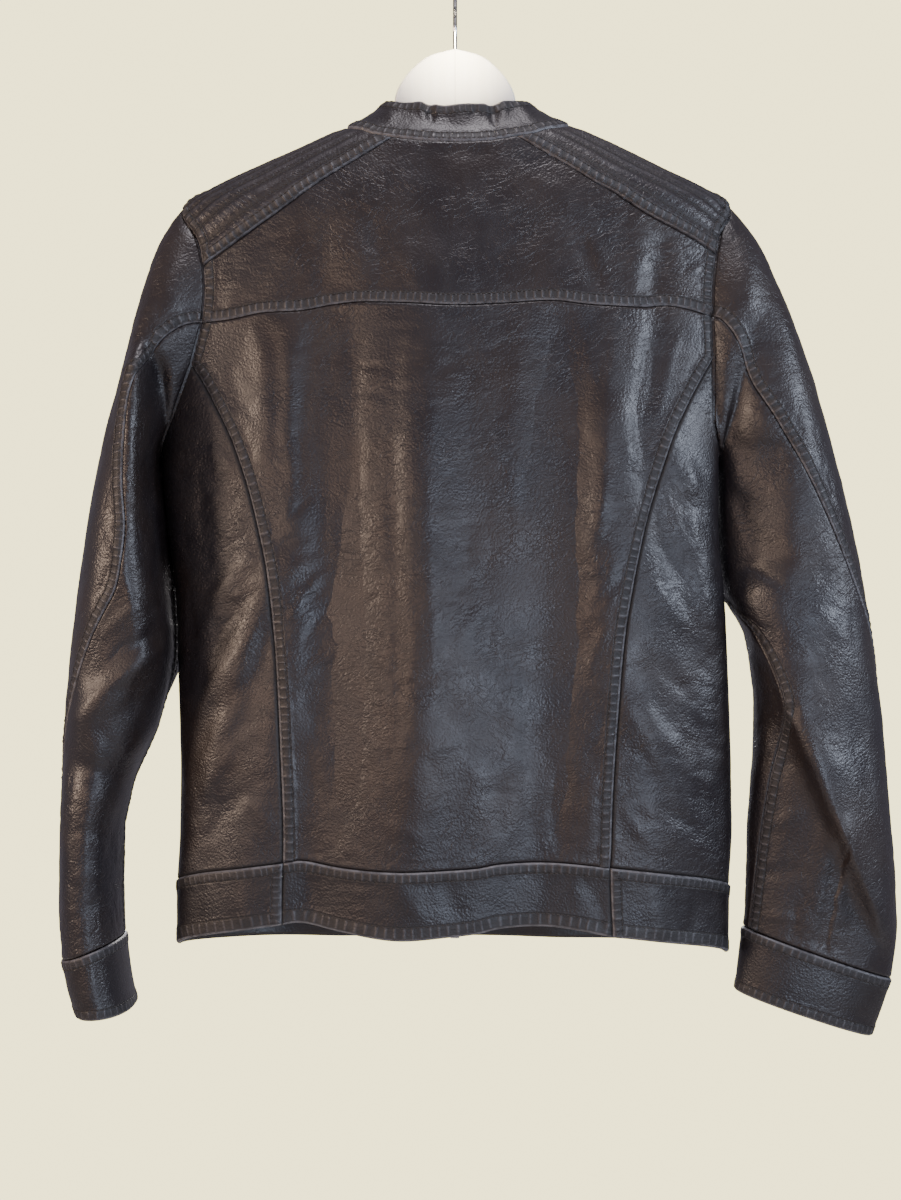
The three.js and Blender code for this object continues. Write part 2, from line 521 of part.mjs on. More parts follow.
run.bottomCentre = plan([
  onBody(bottomCorners.leftPrincess, 'back'), ...bottomCentre.map((p) => onBody(p, 'back')),
  onBody(bottomCorners.rightPrincess, 'back')], acrossBack);

// ---- materials ----

const look = (color, roughness, metalness = 0) => (
  new THREE.MeshStandardMaterial({ color, roughness, metalness }));
const leather = () => look(0x2b2422, 0.45);
const doubledLeather = () => look(0x261f1e, 0.42);
const tape = () => look(0x17171a, 0.9);
const metal = () => look(0xb9bcc0, 0.28, 1);
const paintedWood = () => look(0xeae6dd, 0.5);

const jacket = new THREE.Group();
function addPiece(name, geometry, material) {
  const mesh = new THREE.Mesh(geometry, material);
  mesh.name = name;
  jacket.add(mesh);
  return mesh;
}

// ---- body pieces ----

function makeYoke() {
  // The shoulder seams and the back of the neck make the yoke's top edge.
  const top = chain(reversed(run.left.shoulderBack), run.neckBack, run.right.shoulderBack);
  addPiece('back_yoke', bodyWall(patch(run.yoke, top, reversed(run.left.armYoke), reversed(run.right.armYoke))),
    leather());
}

function makeBack() {
  const edge = (side) => reversed(chain(run[side].armCentre, run[side].princess));
  addPiece('back_centre', bodyWall(patch(run.hemCentre, run.yoke, edge('left'), edge('right'))), leather());
  for (const side of ['left', 'right']) {
    const r = run[side];
    const rows = patch(r.hemSide, r.armSide, reversed(r.princess), reversed(r.sideSeam));
    addPiece(`back_side_${side}`, bodyWall(rows), leather());
  }
}

function makeFronts() {
  for (const side of ['left', 'right']) {
    const r = run[side];
    const outer = reversed(chain(reversed(r.armFront), r.sideSeam));
    const top = chain(reversed(r.shoulderFront), r.neckFront);
    addPiece(`front_${side}`, bodyWall(patch(r.hemFront, top, outer, reversed(r.centreFront))), leather());
  }
}

function makeShoulders() {
  for (const side of ['left', 'right']) {
    const r = run[side];
    const rows = patch(r.armShoulder, r.neckShoulder, reversed(r.shoulderBack), reversed(r.shoulderFront));
    const raise = (v, u) => {
      const channel = Math.round(u * 2 * parts.quiltChannels);
      const inside = v > 0 && v < 1;
      return inside && channel % 2 === 1 ? quiltHeight : 0;
    };
    addPiece(`shoulder_quilted_${side}`, bodyWall(rows, { raise, straighten: true }), leather());
  }
}

function makeHemBand() {
  const options = { thickness: bandWall, lift: bandLift };
  addPiece('hem_band_back', bodyWall(patch(run.bottomCentre, run.hemCentre,
    reversed(run.left.bandPrincess), reversed(run.right.bandPrincess)), options), doubledLeather());
  for (const side of ['left', 'right']) {
    const r = run[side];
    addPiece(`hem_band_side_${side}`, bodyWall(patch(r.bottomSide, r.hemSide,
      reversed(r.bandPrincess), reversed(r.bandSide)), options), doubledLeather());
    addPiece(`hem_band_front_${side}`, bodyWall(patch(r.bottomFront, r.hemFront,
      reversed(r.bandSide), reversed(r.bandCentre)), options), doubledLeather());
  }
}

// ---- pieces that start at an edge of the body ----

// The loop of an edge on the body, with what a piece joined there needs to know: the body's
// normal, and the way off the body's edge along its surface.
function edgeLoop(points, closed, middle) {
  const count = points.length;
  const place = points.map((p) => bodyPoint(p.x / angleScale, p.y));
  return place.map((point, k) => {
    const before = place[closed ? (k + count - 1) % count : Math.max(0, k - 1)];
    const after = place[closed ? (k + 1) % count : Math.min(count - 1, k + 1)];
    const normal = bodyNormal(points[k].x / angleScale, points[k].y);
    const away = normal.clone().cross(after.clone().sub(before)).normalize();
    if (away.dot(middle.clone().sub(point)) < 0) away.negate();
    return { point, normal, away };
  });
}

// Outer and inner points of a joined piece's first row.
function firstRow(edges, outward, thickness, lift) {
  const outer = edges.map((edge, k) => {
    const folded = Math.max(0, -outward[k].dot(edge.normal));
    return edge.point.clone().addScaledVector(edge.away, seamGap)
      .addScaledVector(edge.normal, lift + foldClear * folded);
  });
  const inner = outer.map((p, k) => {
    const into = outward[k].clone().negate();
    const back = into.dot(edges[k].away);
    if (back < leanAway) into.addScaledVector(edges[k].away, leanAway - back);
    return p.clone().addScaledVector(into.normalize(), thickness);
  });
  return { outer, inner };
}

function netNormals(net, closed, outwardFrom) {
  const rows = net.length;
  const columns = net[0].length;
  return net.map((row, j) => row.map((p, i) => {
    const before = row[closed ? (i + columns - 1) % columns : Math.max(0, i - 1)];
    const after = row[closed ? (i + 1) % columns : Math.min(columns - 1, i + 1)];
    const up = net[Math.max(0, j - 1)][i];
    const down = net[Math.min(rows - 1, j + 1)][i];
    const normal = after.clone().sub(before).cross(down.clone().sub(up)).normalize();
    return normal.dot(p.clone().sub(outwardFrom(j))) < 0 ? normal.negate() : normal;
  }));
}

const every = (list, step) => list.filter((item, k) => k % step === 0);

// ---- collar ----

function makeCollar() {
  const l = run.left;
  const r = run.right;
  const points = chain(reversed(l.neckFront), reversed(every(l.neckShoulder, 2)), run.neckBack,
    every(r.neckShoulder, 2), r.neckFront);
  const middle = new THREE.Vector3(collarTop.middleX, 0, collarFoot.middleZ);
  const edges = edgeLoop(points, false, middle);
  const top = edges.map(({ point }) => {
    const across = (point.x - collarTop.middleX) / collarFoot.halfWidth;
    const around = Math.atan2(point.y / collarFoot.halfDepth, across);
    const sin = Math.sin(around);
    const depth = sin < 0 ? collarTop.back : collarTop.front;
    const drop = sin < 0 ? collarTop.backDrop : collarTop.frontDrop;
    return new THREE.Vector3(collarTop.middleX + collarTop.halfWidth * Math.cos(around), depth * sin,
      collarTop.sideZ - drop * sin * sin);
  });
  const net = [];
  for (let j = 0; j <= parts.collarUp; j += 1) {
    const v = j / parts.collarUp;
    net.push(edges.map((edge, k) => {
      const hollow = collarHollow * Math.sin(Math.PI * v);
      const p = edge.point.clone().lerp(top[k], v);
      const out = p.clone().sub(middle).setZ(0).normalize();
      return p.addScaledVector(out, -hollow);
    }));
  }
  const rowMiddle = (j) => new THREE.Vector3(collarTop.middleX, 0, collarFoot.lowZ + collarFoot.rowHeight * j);
  const normals = netNormals(net, false, rowMiddle);
  const first = firstRow(edges, normals[0], bandWall, bandLift);
  const outer = net.map((row, j) => (j === 0 ? first.outer : row.map((p, i) => (
    p.clone().addScaledVector(normals[j][i], bandLift)))));
  const inner = outer.map((row, j) => (j === 0 ? first.inner : row.map((p, i) => (
    p.clone().addScaledVector(normals[j][i], -bandWall)))));
  const side = parts.neckFront + parts.quiltChannels / 2;
  const last = points.length - 1;
  const cuts = { left_front: [0, side], back: [side, last - side], right_front: [last - side, last] };
  for (const [name, [from, to]] of Object.entries(cuts)) {
    const piece = (netRows) => {
      const rows = netRows.map((row) => row.slice(from, to + 1).map((p) => p.clone()));
      for (const row of rows) {
        const shrink = (a, b) => a.add(b.clone().sub(a).setLength(seamGap / 2));
        shrink(row[0], row[1]);
        shrink(row[row.length - 1], row[row.length - 2]);
      }
      return rows;
    };
    addPiece(`collar_${name}`, wallGeometry(piece(outer), piece(inner)), doubledLeather());
  }
}

// ---- sleeves ----

function section(table, at) {
  const rows = table.map((row, k) => ({ ...row, at: k }));
  const value = (column) => read(rows, 'at', column, at);
  return {
    outer: new THREE.Vector3(value('outX'), value('outY'), value('outZ')),
    inner: new THREE.Vector3(value('inX'), value('inY'), value('inZ')),
    back: value('back'),
    front: value('front'),
  };
}

function sectionPoint(part, angle) {
  const cos = signedPower(Math.cos(angle), 2 / sleevePower);
  const sin = signedPower(Math.sin(angle), 2 / sleevePower);
  const middle = part.outer.clone().add(part.inner).multiplyScalar(0.5);
  const half = part.outer.clone().sub(part.inner).multiplyScalar(0.5);
  const depth = sin > 0 ? part.back : part.front;
  return middle.addScaledVector(half, cos).add(new THREE.Vector3(0, -depth * sin, 0));
}

function sleeveFoldHeight(folds, x, z) {
  let height = 0;
  for (const fold of folds) {
    const length = Math.hypot(fold.toX - fold.fromX, fold.toZ - fold.fromZ);
    const ux = (fold.toX - fold.fromX) / length;
    const uz = (fold.toZ - fold.fromZ) / length;
    const t = (x - fold.fromX) * ux + (z - fold.fromZ) * uz;
    const past = Math.max(0, -t, t - length);
    if (past >= sleeveFoldFade) continue;
    const beside = ((x - fold.fromX) * -uz + (z - fold.fromZ) * ux) * fold.falls;
    const reach = beside > 0 ? fold.steep : fold.easy;
    height += fold.rise * Math.exp(-Math.pow(beside / reach, 2)) * smooth(1 - past / sleeveFoldFade);
  }
  return height;
}

function makeSleeve(side) {
  const r = run[side];
  const table = sleeves[side];
  const half = parts.quiltChannels / 2;
  const shoulder = every(r.armShoulder, 2);
  // Round the armhole from the shoulder tip over the back to the underarm and up the front.
  const loop = [...reversed(shoulder.slice(0, half + 1)), ...r.armYoke.slice(1), ...r.armCentre.slice(1),
    ...r.armSide.slice(1), ...r.armFront.slice(1), ...reversed(shoulder.slice(half + 1, -1))];
  const count = loop.length;
  const hindColumn = half + parts.yokeDown;
  const underarm = hindColumn + parts.centreArmhole + parts.sideAcross;
  const innerColumn = underarm + parts.pastUnderarm;
  const start = section(table, 0);
  const middle = start.outer.clone().add(start.inner).multiplyScalar(0.5);
  const edges = edgeLoop(loop, true, middle);
  const lengths = [0];
  for (let k = 1; k <= count; k += 1) {
    lengths.push(lengths[k - 1] + edges[k % count].point.distanceTo(edges[k - 1].point));
  }
  const startAngle = (k) => (k <= underarm
    ? (Math.PI * lengths[k]) / lengths[underarm]
    : Math.PI + (Math.PI * (lengths[k] - lengths[underarm])) / (lengths[count] - lengths[underarm]));
  const seamRows = [{ at: 0, hind: THREE.MathUtils.radToDeg(startAngle(hindColumn)),
    inner: THREE.MathUtils.radToDeg(startAngle(innerColumn)) }, ...sleeveSeams[side]];

  const columnAngle = (k, at) => {
    const hind = THREE.MathUtils.degToRad(read(seamRows, 'at', 'hind', at));
    const inner = THREE.MathUtils.degToRad(read(seamRows, 'at', 'inner', at));
    const a0 = startAngle(hindColumn);
    const b0 = startAngle(innerColumn);
    const own = startAngle(k);
    if (own >= a0 && own <= b0) return mix(hind, inner, (own - a0) / (b0 - a0));
    const wrapped = own > b0 ? own : own + 2 * Math.PI;
    return mix(inner, hind + 2 * Math.PI, (wrapped - b0) / (a0 + 2 * Math.PI - b0));
  };

  const net = [];
  const last = table.length - 1;
  for (let j = 0; j <= parts.sleeveDown; j += 1) {
    const at = last * Math.pow(j / parts.sleeveDown, sleeveCrowding);
    const part = section(table, at);
    const share = clamp(at / armholeRows, 0, 1);
    const turned = share * (2 - share);
    net.push(edges.map((edge, k) => {
      const round = sectionPoint(part, columnAngle(k, at));
      const p = edge.point.clone().lerp(round, turned);
      const facing = clamp(Math.sin(columnAngle(k, at)), 0, 1) * smooth(at / foldsOnset)
        * smooth((last - at) / foldsEnd);
      p.y -= sleeveFoldHeight(sleeveFolds[side], p.x, p.z) * facing;
      return p;
    }));
  }
  const centres = net.map((row) => row.reduce((sum, p) => sum.add(p), new THREE.Vector3()).divideScalar(count));
  const normals = netNormals(net, true, (j) => centres[j]);
  const first = firstRow(edges, normals[0], wall, 0);
  const outer = net.map((row, j) => (j === 0 ? first.outer : row.map((p) => p.clone())));
  const inner = net.map((row, j) => (j === 0 ? first.inner : row.map((p, i) => (
    p.clone().addScaledVector(normals[j][i], -wall)))));
  const cut = (from, to) => {
    const piece = (rows) => rows.map((row) => {
      const points = [];
      for (let k = from; k <= to; k += 1) points.push(row[k % count].clone());
      const shrink = (a, b) => a.add(b.clone().sub(a).setLength(seamGap / 2));
      shrink(points[0], points[1]);
      shrink(points[points.length - 1], points[points.length - 2]);
      return points;
    });
    return wallGeometry(piece(outer), piece(inner));
  };
  addPiece(`sleeve_under_${side}`, cut(hindColumn, innerColumn), leather());
  addPiece(`sleeve_upper_${side}`, cut(innerColumn, hindColumn + count), leather());
  return { columns: edges.map((edge, k) => columnAngle(k, last)) };
}

function makeCuff(side, columns) {
  const table = cuffs[side].map((row) => ({ ...row, outY: 0, inY: 0 }));
  const net = [];
  const steps = parts.band + 1;
  for (let j = 0; j <= steps; j += 1) {
    const part = section(table, ((table.length - 1) * j) / steps);
    net.push(columns.map((angle) => sectionPoint(part, angle)));
  }
  const centres = net.map((row) => (
    row.reduce((sum, p) => sum.add(p), new THREE.Vector3()).divideScalar(columns.length)));
  const normals = netNormals(net, true, (j) => centres[j]);
  const down = centres[1].clone().sub(centres[0]).normalize();
  const layer = (depth) => net.map((row, j) => row.map((p, i) => (
    p.clone().addScaledVector(normals[j][i], depth).addScaledVector(down, j === 0 ? cuffDrop : 0))));
  addPiece(`cuff_${side}`, wallGeometry(layer(bandLift), layer(bandLift - bandWall), true), doubledLeather());
}

// ---- zip ----

const slider = { z: -186, width: 9, height: 13, front: 1.6, thickness: 3.4, corner: 2.4, overlap: 0.4 };
const bow = { width: 2.4, bar: 1.5, window: 4.4 };
const pull = { width: 7.6, length: 34, thickness: 1.6, corner: 1.2, hole: 3.8, holeLength: 7 };
const tapes = { fromCentre: 0.35, width: 13, topZ: -181, bottomZ: -789, behind: 0.5, thickness: 1, rows: 16 };

function makeTapes() {
  for (const side of ['left', 'right']) {
    const sign = side === 'left' ? -1 : 1;
    const corner = (x, z) => onBody({ x: sign * x, z }, 'front');
    const level = (z) => [corner(tapes.fromCentre, z), corner(tapes.width, z)];
    const upright = (x) => straight(corner(x, tapes.bottomZ), corner(x, tapes.topZ), tapes.rows);
    const rows = patch(level(tapes.bottomZ), level(tapes.topZ), upright(tapes.fromCentre),
      upright(tapes.width));
    const lift = bandLift - bandWall - tapes.behind;
    addPiece(`zip_tape_${side}`, bodyWall(rows, { thickness: tapes.thickness, lift }), tape());
  }
}

function toSolid(wasm, geometry) {
  const bare = geometry.clone();
  bare.deleteAttribute('normal');
  bare.deleteAttribute('uv');
  const merged = mergeVertices(bare, 1e-4);
  return new wasm.Manifold(new wasm.Mesh({
    numProp: 3,
    vertProperties: new Float32Array(merged.attributes.position.array),
    triVerts: new Uint32Array(merged.index.array),
  }));
}

function toGeometry(solid) {
  const mesh = solid.getMesh();
  const geometry = new THREE.BufferGeometry();
  geometry.setAttribute('position', new THREE.Float32BufferAttribute(mesh.vertProperties, 3));
  geometry.setIndex(Array.from(mesh.triVerts));
  geometry.computeVertexNormals();
  return geometry;
}

const frontY = (z) => bodyPoint(-Math.PI / 2, z).y;
const box = (sizeX, sizeY, sizeZ, x, y, z) => new THREE.BoxGeometry(sizeX, sizeY, sizeZ).translate(x, y, z);

function roundedPlate(width, height, radius, thickness, hole) {
  const shape = new THREE.Shape();
  const w = width / 2;
  shape.moveTo(-w + radius, 0);
  shape.lineTo(w - radius, 0);
  shape.absarc(w - radius, -radius, radius, Math.PI / 2, 0, true);
  shape.lineTo(w, -height + radius);
  shape.absarc(w - radius, -height + radius, radius, 0, -Math.PI / 2, true);
  shape.lineTo(-w + radius, -height);
  shape.absarc(-w + radius, -height + radius, radius, -Math.PI / 2, -Math.PI, true);
  shape.lineTo(-w, -radius);
  shape.absarc(-w + radius, -radius, radius, Math.PI, Math.PI / 2, true);
  if (hole) {
    const cut = new THREE.Path();
    cut.moveTo(-hole.half, -hole.top);
    cut.lineTo(-hole.half, -hole.bottom);
    cut.lineTo(hole.half, -hole.bottom);
    cut.lineTo(hole.half, -hole.top);
    cut.closePath();
    shape.holes.push(cut);
  }
  const options = { depth: thickness, bevelEnabled: false, curveSegments: 4 };
  const geometry = new THREE.ExtrudeGeometry(shape, options);
  return geometry.rotateX(Math.PI / 2).translate(0, thickness / 2, 0);
}

function makeSlider(wasm) {
  const face = frontY(slider.z) + slider.front;
  const plate = roundedPlate(slider.width, slider.height, slider.corner, slider.thickness, null)
    .translate(0, face - slider.thickness / 2, slider.z + slider.height / 2);
  const outerSize = bow.window + 2 * bow.bar;
  const reach = bow.window + bow.bar;
  const blockY = face + (reach - slider.overlap) / 2;
  const block = box(bow.width, reach + slider.overlap, outerSize, 0, blockY, slider.z);
  const opening = box(bow.width * 2, bow.window, bow.window, 0, face + bow.window / 2, slider.z);
  const arch = toSolid(wasm, block).subtract(toSolid(wasm, opening));
  addPiece('zip_slider', toGeometry(toSolid(wasm, plate).add(arch)), metal());
  return { y: face + bow.window / 2, z: slider.z };
}

function makePullTab(hinge) {
  const top = pull.thickness / 2;
  const hole = { half: pull.hole / 2, top: pull.thickness, bottom: pull.thickness + pull.holeLength };
  const plate = roundedPlate(pull.width, pull.length, pull.corner, pull.thickness, hole)
    .translate(0, hinge.y, hinge.z + top);
  addPiece('zip_pull_tab', plate, metal());
}

// ---- hanger ----

// Height of the shoulder's ridge over a given x.
function ridgeZ(x) {
  const key = x < 0 ? 'left' : 'right';
  let low = body[6].z;
  let high = body[0].z;
  for (let halving = 0; halving < 30; halving += 1) {
    const z = (low + high) / 2;
    if (Math.abs(read(body, 'z', key, z)) > Math.abs(x)) low = z;
    else high = z;
  }
  return low;
}

const hanger = {
  topZ: -62,
  dome: [
    { x: 24, z: -66.5 }, { x: 38, z: -77 }, { x: 46, z: -89 }, { x: 49.5, z: -100 }, { x: 50.5, z: -112 },
    { x: 60, z: -125 }, { x: 76, z: -131.5 },
  ],
  armX: [96, 126, 160, 192],
  tip: [{ x: 205, z: -191 }, { x: 208, z: -199 }, { x: 201, z: -204 }],
  under: [{ x: 165, z: -190 }, { x: 110, z: -168 }, { x: 55, z: -150 }],
  underMiddleZ: -143,
  bevel: 2,
  outlinePoints: 60,
  boreDepth: 20,
  boreClear: 0.3,
};

function makeHanger(wasm) {
  const top = (sign) => [...hanger.dome.map((p) => new THREE.Vector2(sign * p.x, p.z)),
    ...hanger.armX.map((x) => new THREE.Vector2(sign * x, ridgeZ(sign * x) - hangerSeat - wall))];
  const low = (sign) => [...hanger.tip, ...hanger.under].map((p) => new THREE.Vector2(sign * p.x, p.z));
  const crown = new THREE.Vector2(0, hanger.topZ);
  const outline = new THREE.SplineCurve([crown, ...top(1), ...low(1), new THREE.Vector2(0, hanger.underMiddleZ),
    ...reversed(low(-1)), ...reversed(top(-1)), crown]);
  const shape = new THREE.Shape(outline.getPoints(hanger.outlinePoints).slice(0, -1));
  const { bevel } = hanger;
  const depth = hangerThickness - 2 * bevel;
  const wood = new THREE.ExtrudeGeometry(shape, {
    depth, bevelEnabled: true, bevelThickness: bevel, bevelSize: bevel, bevelOffset: -bevel, bevelSegments: 1,
  }).rotateX(Math.PI / 2).translate(0, depth / 2, 0);
  const boreRadius = wireRadius + hanger.boreClear;
  const bore = new THREE.CylinderGeometry(boreRadius, boreRadius, 2 * hanger.boreDepth, 16)
    .rotateX(Math.PI / 2).translate(0, 0, hanger.topZ);
  addPiece('hanger_wood', toGeometry(toSolid(wasm, wood).subtract(toSolid(wasm, bore))), paintedWood());
}

// The hook's stem in the plane of its bow, from inside the wood up to the bow, and the bow's
// own degrees, from the stem's side over the top to the wire's end.
const hookStem = [
  { y: 0, z: -81.5 }, { y: 0, z: -66 }, { y: 0, z: -52 }, { y: -1.2, z: -43 }, { y: -5.6, z: -36.4 },
];
const hookBow = { from: 228, to: -36, step: 24 };

function makeHook() {
  const radius = hookInside + wireRadius;
  const onBow = (degrees) => {
    const a = THREE.MathUtils.degToRad(degrees);
    return new THREE.Vector3(0, radius * Math.cos(a), -hookInside + radius * Math.sin(a));
  };
  const bowPoints = [];
  for (let degrees = hookBow.from; degrees >= hookBow.to; degrees -= hookBow.step) {
    bowPoints.push(onBow(degrees));
  }
  const stem = hookStem.map((p) => new THREE.Vector3(0, p.y, p.z));
  const path = new THREE.CatmullRomCurve3([...stem, ...bowPoints]);
  const circle = new THREE.Shape().absarc(0, 0, wireRadius, 0, 2 * Math.PI, false);
  const wire = new THREE.ExtrudeGeometry(circle, { steps: 28, extrudePath: path, curveSegments: 4 });
  addPiece('hanger_hook', wire, metal());
}

// ---- the whole ----

const wasm = await Module();
wasm.setup();

makeYoke();
makeBack();
makeFronts();
makeShoulders();
makeHemBand();
makeCollar();
for (const side of ['left', 'right']) {
  const { columns } = makeSleeve(side);
  makeCuff(side, columns);
}
makeTapes();
makePullTab(makeSlider(wasm));
makeHanger(wasm);
makeHook();

export default jacket;
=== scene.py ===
# Leather jacket on a wooden hanger. Lengths in the tables are millimetres, meshes are metres.
import math

import bmesh
import bpy
import numpy as np
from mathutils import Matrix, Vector


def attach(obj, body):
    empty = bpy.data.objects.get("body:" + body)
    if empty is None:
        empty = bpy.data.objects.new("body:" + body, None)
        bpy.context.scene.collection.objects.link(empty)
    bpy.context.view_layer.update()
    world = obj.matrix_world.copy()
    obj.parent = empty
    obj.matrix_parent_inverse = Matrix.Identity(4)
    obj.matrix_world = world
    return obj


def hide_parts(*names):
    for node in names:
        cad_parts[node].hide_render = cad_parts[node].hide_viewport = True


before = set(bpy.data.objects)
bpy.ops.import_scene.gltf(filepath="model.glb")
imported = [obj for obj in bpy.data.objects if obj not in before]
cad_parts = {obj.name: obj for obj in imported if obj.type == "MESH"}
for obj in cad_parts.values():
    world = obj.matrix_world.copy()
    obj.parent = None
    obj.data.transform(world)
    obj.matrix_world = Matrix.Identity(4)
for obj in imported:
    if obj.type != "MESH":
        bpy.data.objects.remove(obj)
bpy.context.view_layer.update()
print("frame loaded")

mm = 0.001
wall = 1.8  # leather with its backing
bandWall = 2.8  # leather folded double
seamGap = 0.3
foldClear = 1
bandLift = 0.5
widthPower = 2.3
sleevePower = 2.15
angleScale = 200  # mm of seam plan for one radian round the body
quiltHeight = 1.3
frontEdge = 6
foldFade = 40
sleeveFoldFade = 26
armholeRows = 4.5
sleeveCrowding = 1.12
foldsOnset = 2
foldsEnd = 1.5
neckFrontZ = -176

# the sizes of cell that the leather is drawn in, and how they crowd towards a seam
cell = 2.3
edgeSteps = np.array([0, 0.5, 1.1, 1.9, 2.9, 4.1, 5.5, 7.0, 8.6, 10.4])
innerStep = 4  # the hidden face of each wall has one point in this many
fewer = np.s_[::innerStep, ::innerStep]

# z, left, right, back, front, leftY, rightY, round
bodyRows = np.array([
    (-98, -40, 43, 27, 30, 0, 0, 1.7), (-112, -61, 67, 35, 37, 0, 0, 1.7),
    (-124, -84, 93, 40, 42, 0, 0, 1.7), (-143, -126, 135, 44, 46, 0, 0, 1.6),
    (-161, -167, 173, 46, 49, 0, 0, 1.6), (-177, -200, 205, 48, 51, 0, 0, 1.6),
    (-188, -218, 222, 49, 52, 0, 0, 1.6), (-200, -226, 226, 50, 53, 0, 0, 1.65),
    (-225, -232, 228, 51, 55, 1, -1, 1.7), (-260, -236, 227, 53, 57, 2, -3, 1.8),
    (-300, -238, 223, 55, 59, 4, -6, 1.9), (-350, -240, 217, 57, 61, 6, -9, 2.0),
    (-392, -240, 213, 58, 62, 8, -12, 2.1), (-450, -235, 213, 59, 63, 8, -12, 2.2),
    (-510, -228, 218, 60, 64, 6, -10, 2.2), (-560, -226, 221, 61, 64, 4, -6, 2.2),
    (-640, -223.5, 224, 61, 64, 2, -3, 2.2), (-700, -224, 225, 60, 63, 0, 0, 2.2),
    (-740, -226, 223, 59, 62, 0, 0, 2.2), (-810, -226, 222, 58, 62, 0, 0, 2.2),
], float)

# topX, topZ, lowX, lowZ, half width, height at the top, height low down
backFolds = [
    (-150, -300, -186, -800, 30, 2.5, 6), (-92, -270, -118, -800, 26, -3.5, -8),
    (-18, -250, -46, -800, 40, 3, 6), (84, -290, 58, -800, 32, -2.5, -8),
    (128, -290, 172, -800, 30, 2.5, 6), (160, -270, 158, -420, 12, -4, -1),
    (100, -170, 92, -270, 26, 1.5, 2.5), (-70, -170, -84, -270, 22, 1, 2.5),
]
sideFolds = [
    (-152, -500, -200, -650, 13, 4, 5), (-150, -545, -196, -720, 15, -4, -4),
    (176, -400, 206, -500, 12, 4, 5), (160, -440, 196, -560, 14, -3, -4),
    (148, -610, 204, -715, 14, 4, 5),
]
frontFolds = [
    (-150, -330, -160, -800, 34, 3, 5), (-85, -290, -92, -800, 28, -3, -6),
    (90, -290, 84, -800, 30, -3, -5), (150, -330, 160, -800, 30, 3, 5),
]

# outX, outZ, inX, inZ, back, front, outY, inY
sleeveRows = {
    "left": [
        (-218, -188, -240, -391, 40, 42, 0, 8), (-236, -208, -243, -395, 44, 46, 0, 4),
        (-248, -234, -244, -400, 47, 50, 0, 0), (-257, -266, -244, -406, 50, 54, 0, -4),
        (-264, -300, -243.5, -414, 53, 58, 0, -8), (-273, -340, -242.5, -427, 56, 62, 0, -12),
        (-284, -382, -241, -444, 58, 66, 0, -14), (-294, -430, -239, -468, 59, 68, 0, -14),
        (-303, -485, -235, -502, 60, 67, 0, -12), (-311, -545, -231, -550, 59, 62, 0, -6),
        (-316, -610, -242, -608, 56, 56, 0, 0), (-319, -673, -264, -662, 53, 52, 0, 0),
        (-320, -714, -271, -698, 52, 50, 0, 0), (-321, -756, -272, -738, 51, 49, 0, 0),
        (-318, -799, -270, -782, 50, 48, 0, 0),
    ],
    "right": [
        (222, -188, 213, -393, 32, 46, 0, -12), (237, -204, 217, -395, 38, 46, 2, -8),
        (252, -224, 217, -400, 42, 46, 4, 0), (265, -254, 212, -408, 44, 44, 6, 16),
        (278, -290, 211, -416, 48, 42, 7, 20), (293, -332, 210, -428, 51, 40, 8, 22),
        (307, -380, 210, -446, 52, 40, 8, 22), (320, -430, 211, -470, 51, 40, 8, 20),
        (332, -490, 218, -502, 47, 38, 6, 14), (341, -550, 236, -540, 42, 36, 4, 6),
        (348, -615, 243, -598, 36, 33, 2, 2), (354, -681, 241, -655, 32, 30, 0, 0),
        (358, -730, 238, -700, 29, 28, 0, 0), (359.5, -775, 236, -741, 27, 26, 0, 0),
        (355, -817, 234.5, -775, 26, 25, 0, 0),
    ],
}
# section, angle of the hind seam, angle of the inner seam
sleeveSeams = {
    "left": [
        (3, 86, 235), (4, 82, 232), (5, 88, 229), (6, 98, 225), (7, 109, 215), (8, 99, 205),
        (9, 65, 200), (10, 34, 196), (11, 4, 192), (12, -14, 190), (14, -20, 188),
    ],
    "right": [
        (3, 92, 235), (5, 81, 225), (6, 70, 215), (7, 58, 205), (8, 41, 190), (9, 14, 150),
        (10, -8, 128), (11, -18, 142), (14, -20, 160),
    ],
}
# fromX, fromZ, toX, toZ, rise, easy side, steep side, falls
sleeveFolds = {
    "left": [
        (-252, -330, -238, -560, 7, 18, 10, 1), (-236, -335, -234, -372, -9, 12, 12, 1),
        (-240, -555, -296, -600, 5, 16, 10, -1), (-262, -650, -312, -640, -5, 16, 14, -1),
    ],
    "right": [
        (226, -512, 352, -792, 13, 44, 9, -1), (250, -395, 232, -500, -6, 20, 20, -1),
        (300, -700, 290, -790, 4, 16, 14, -1),
    ],
}
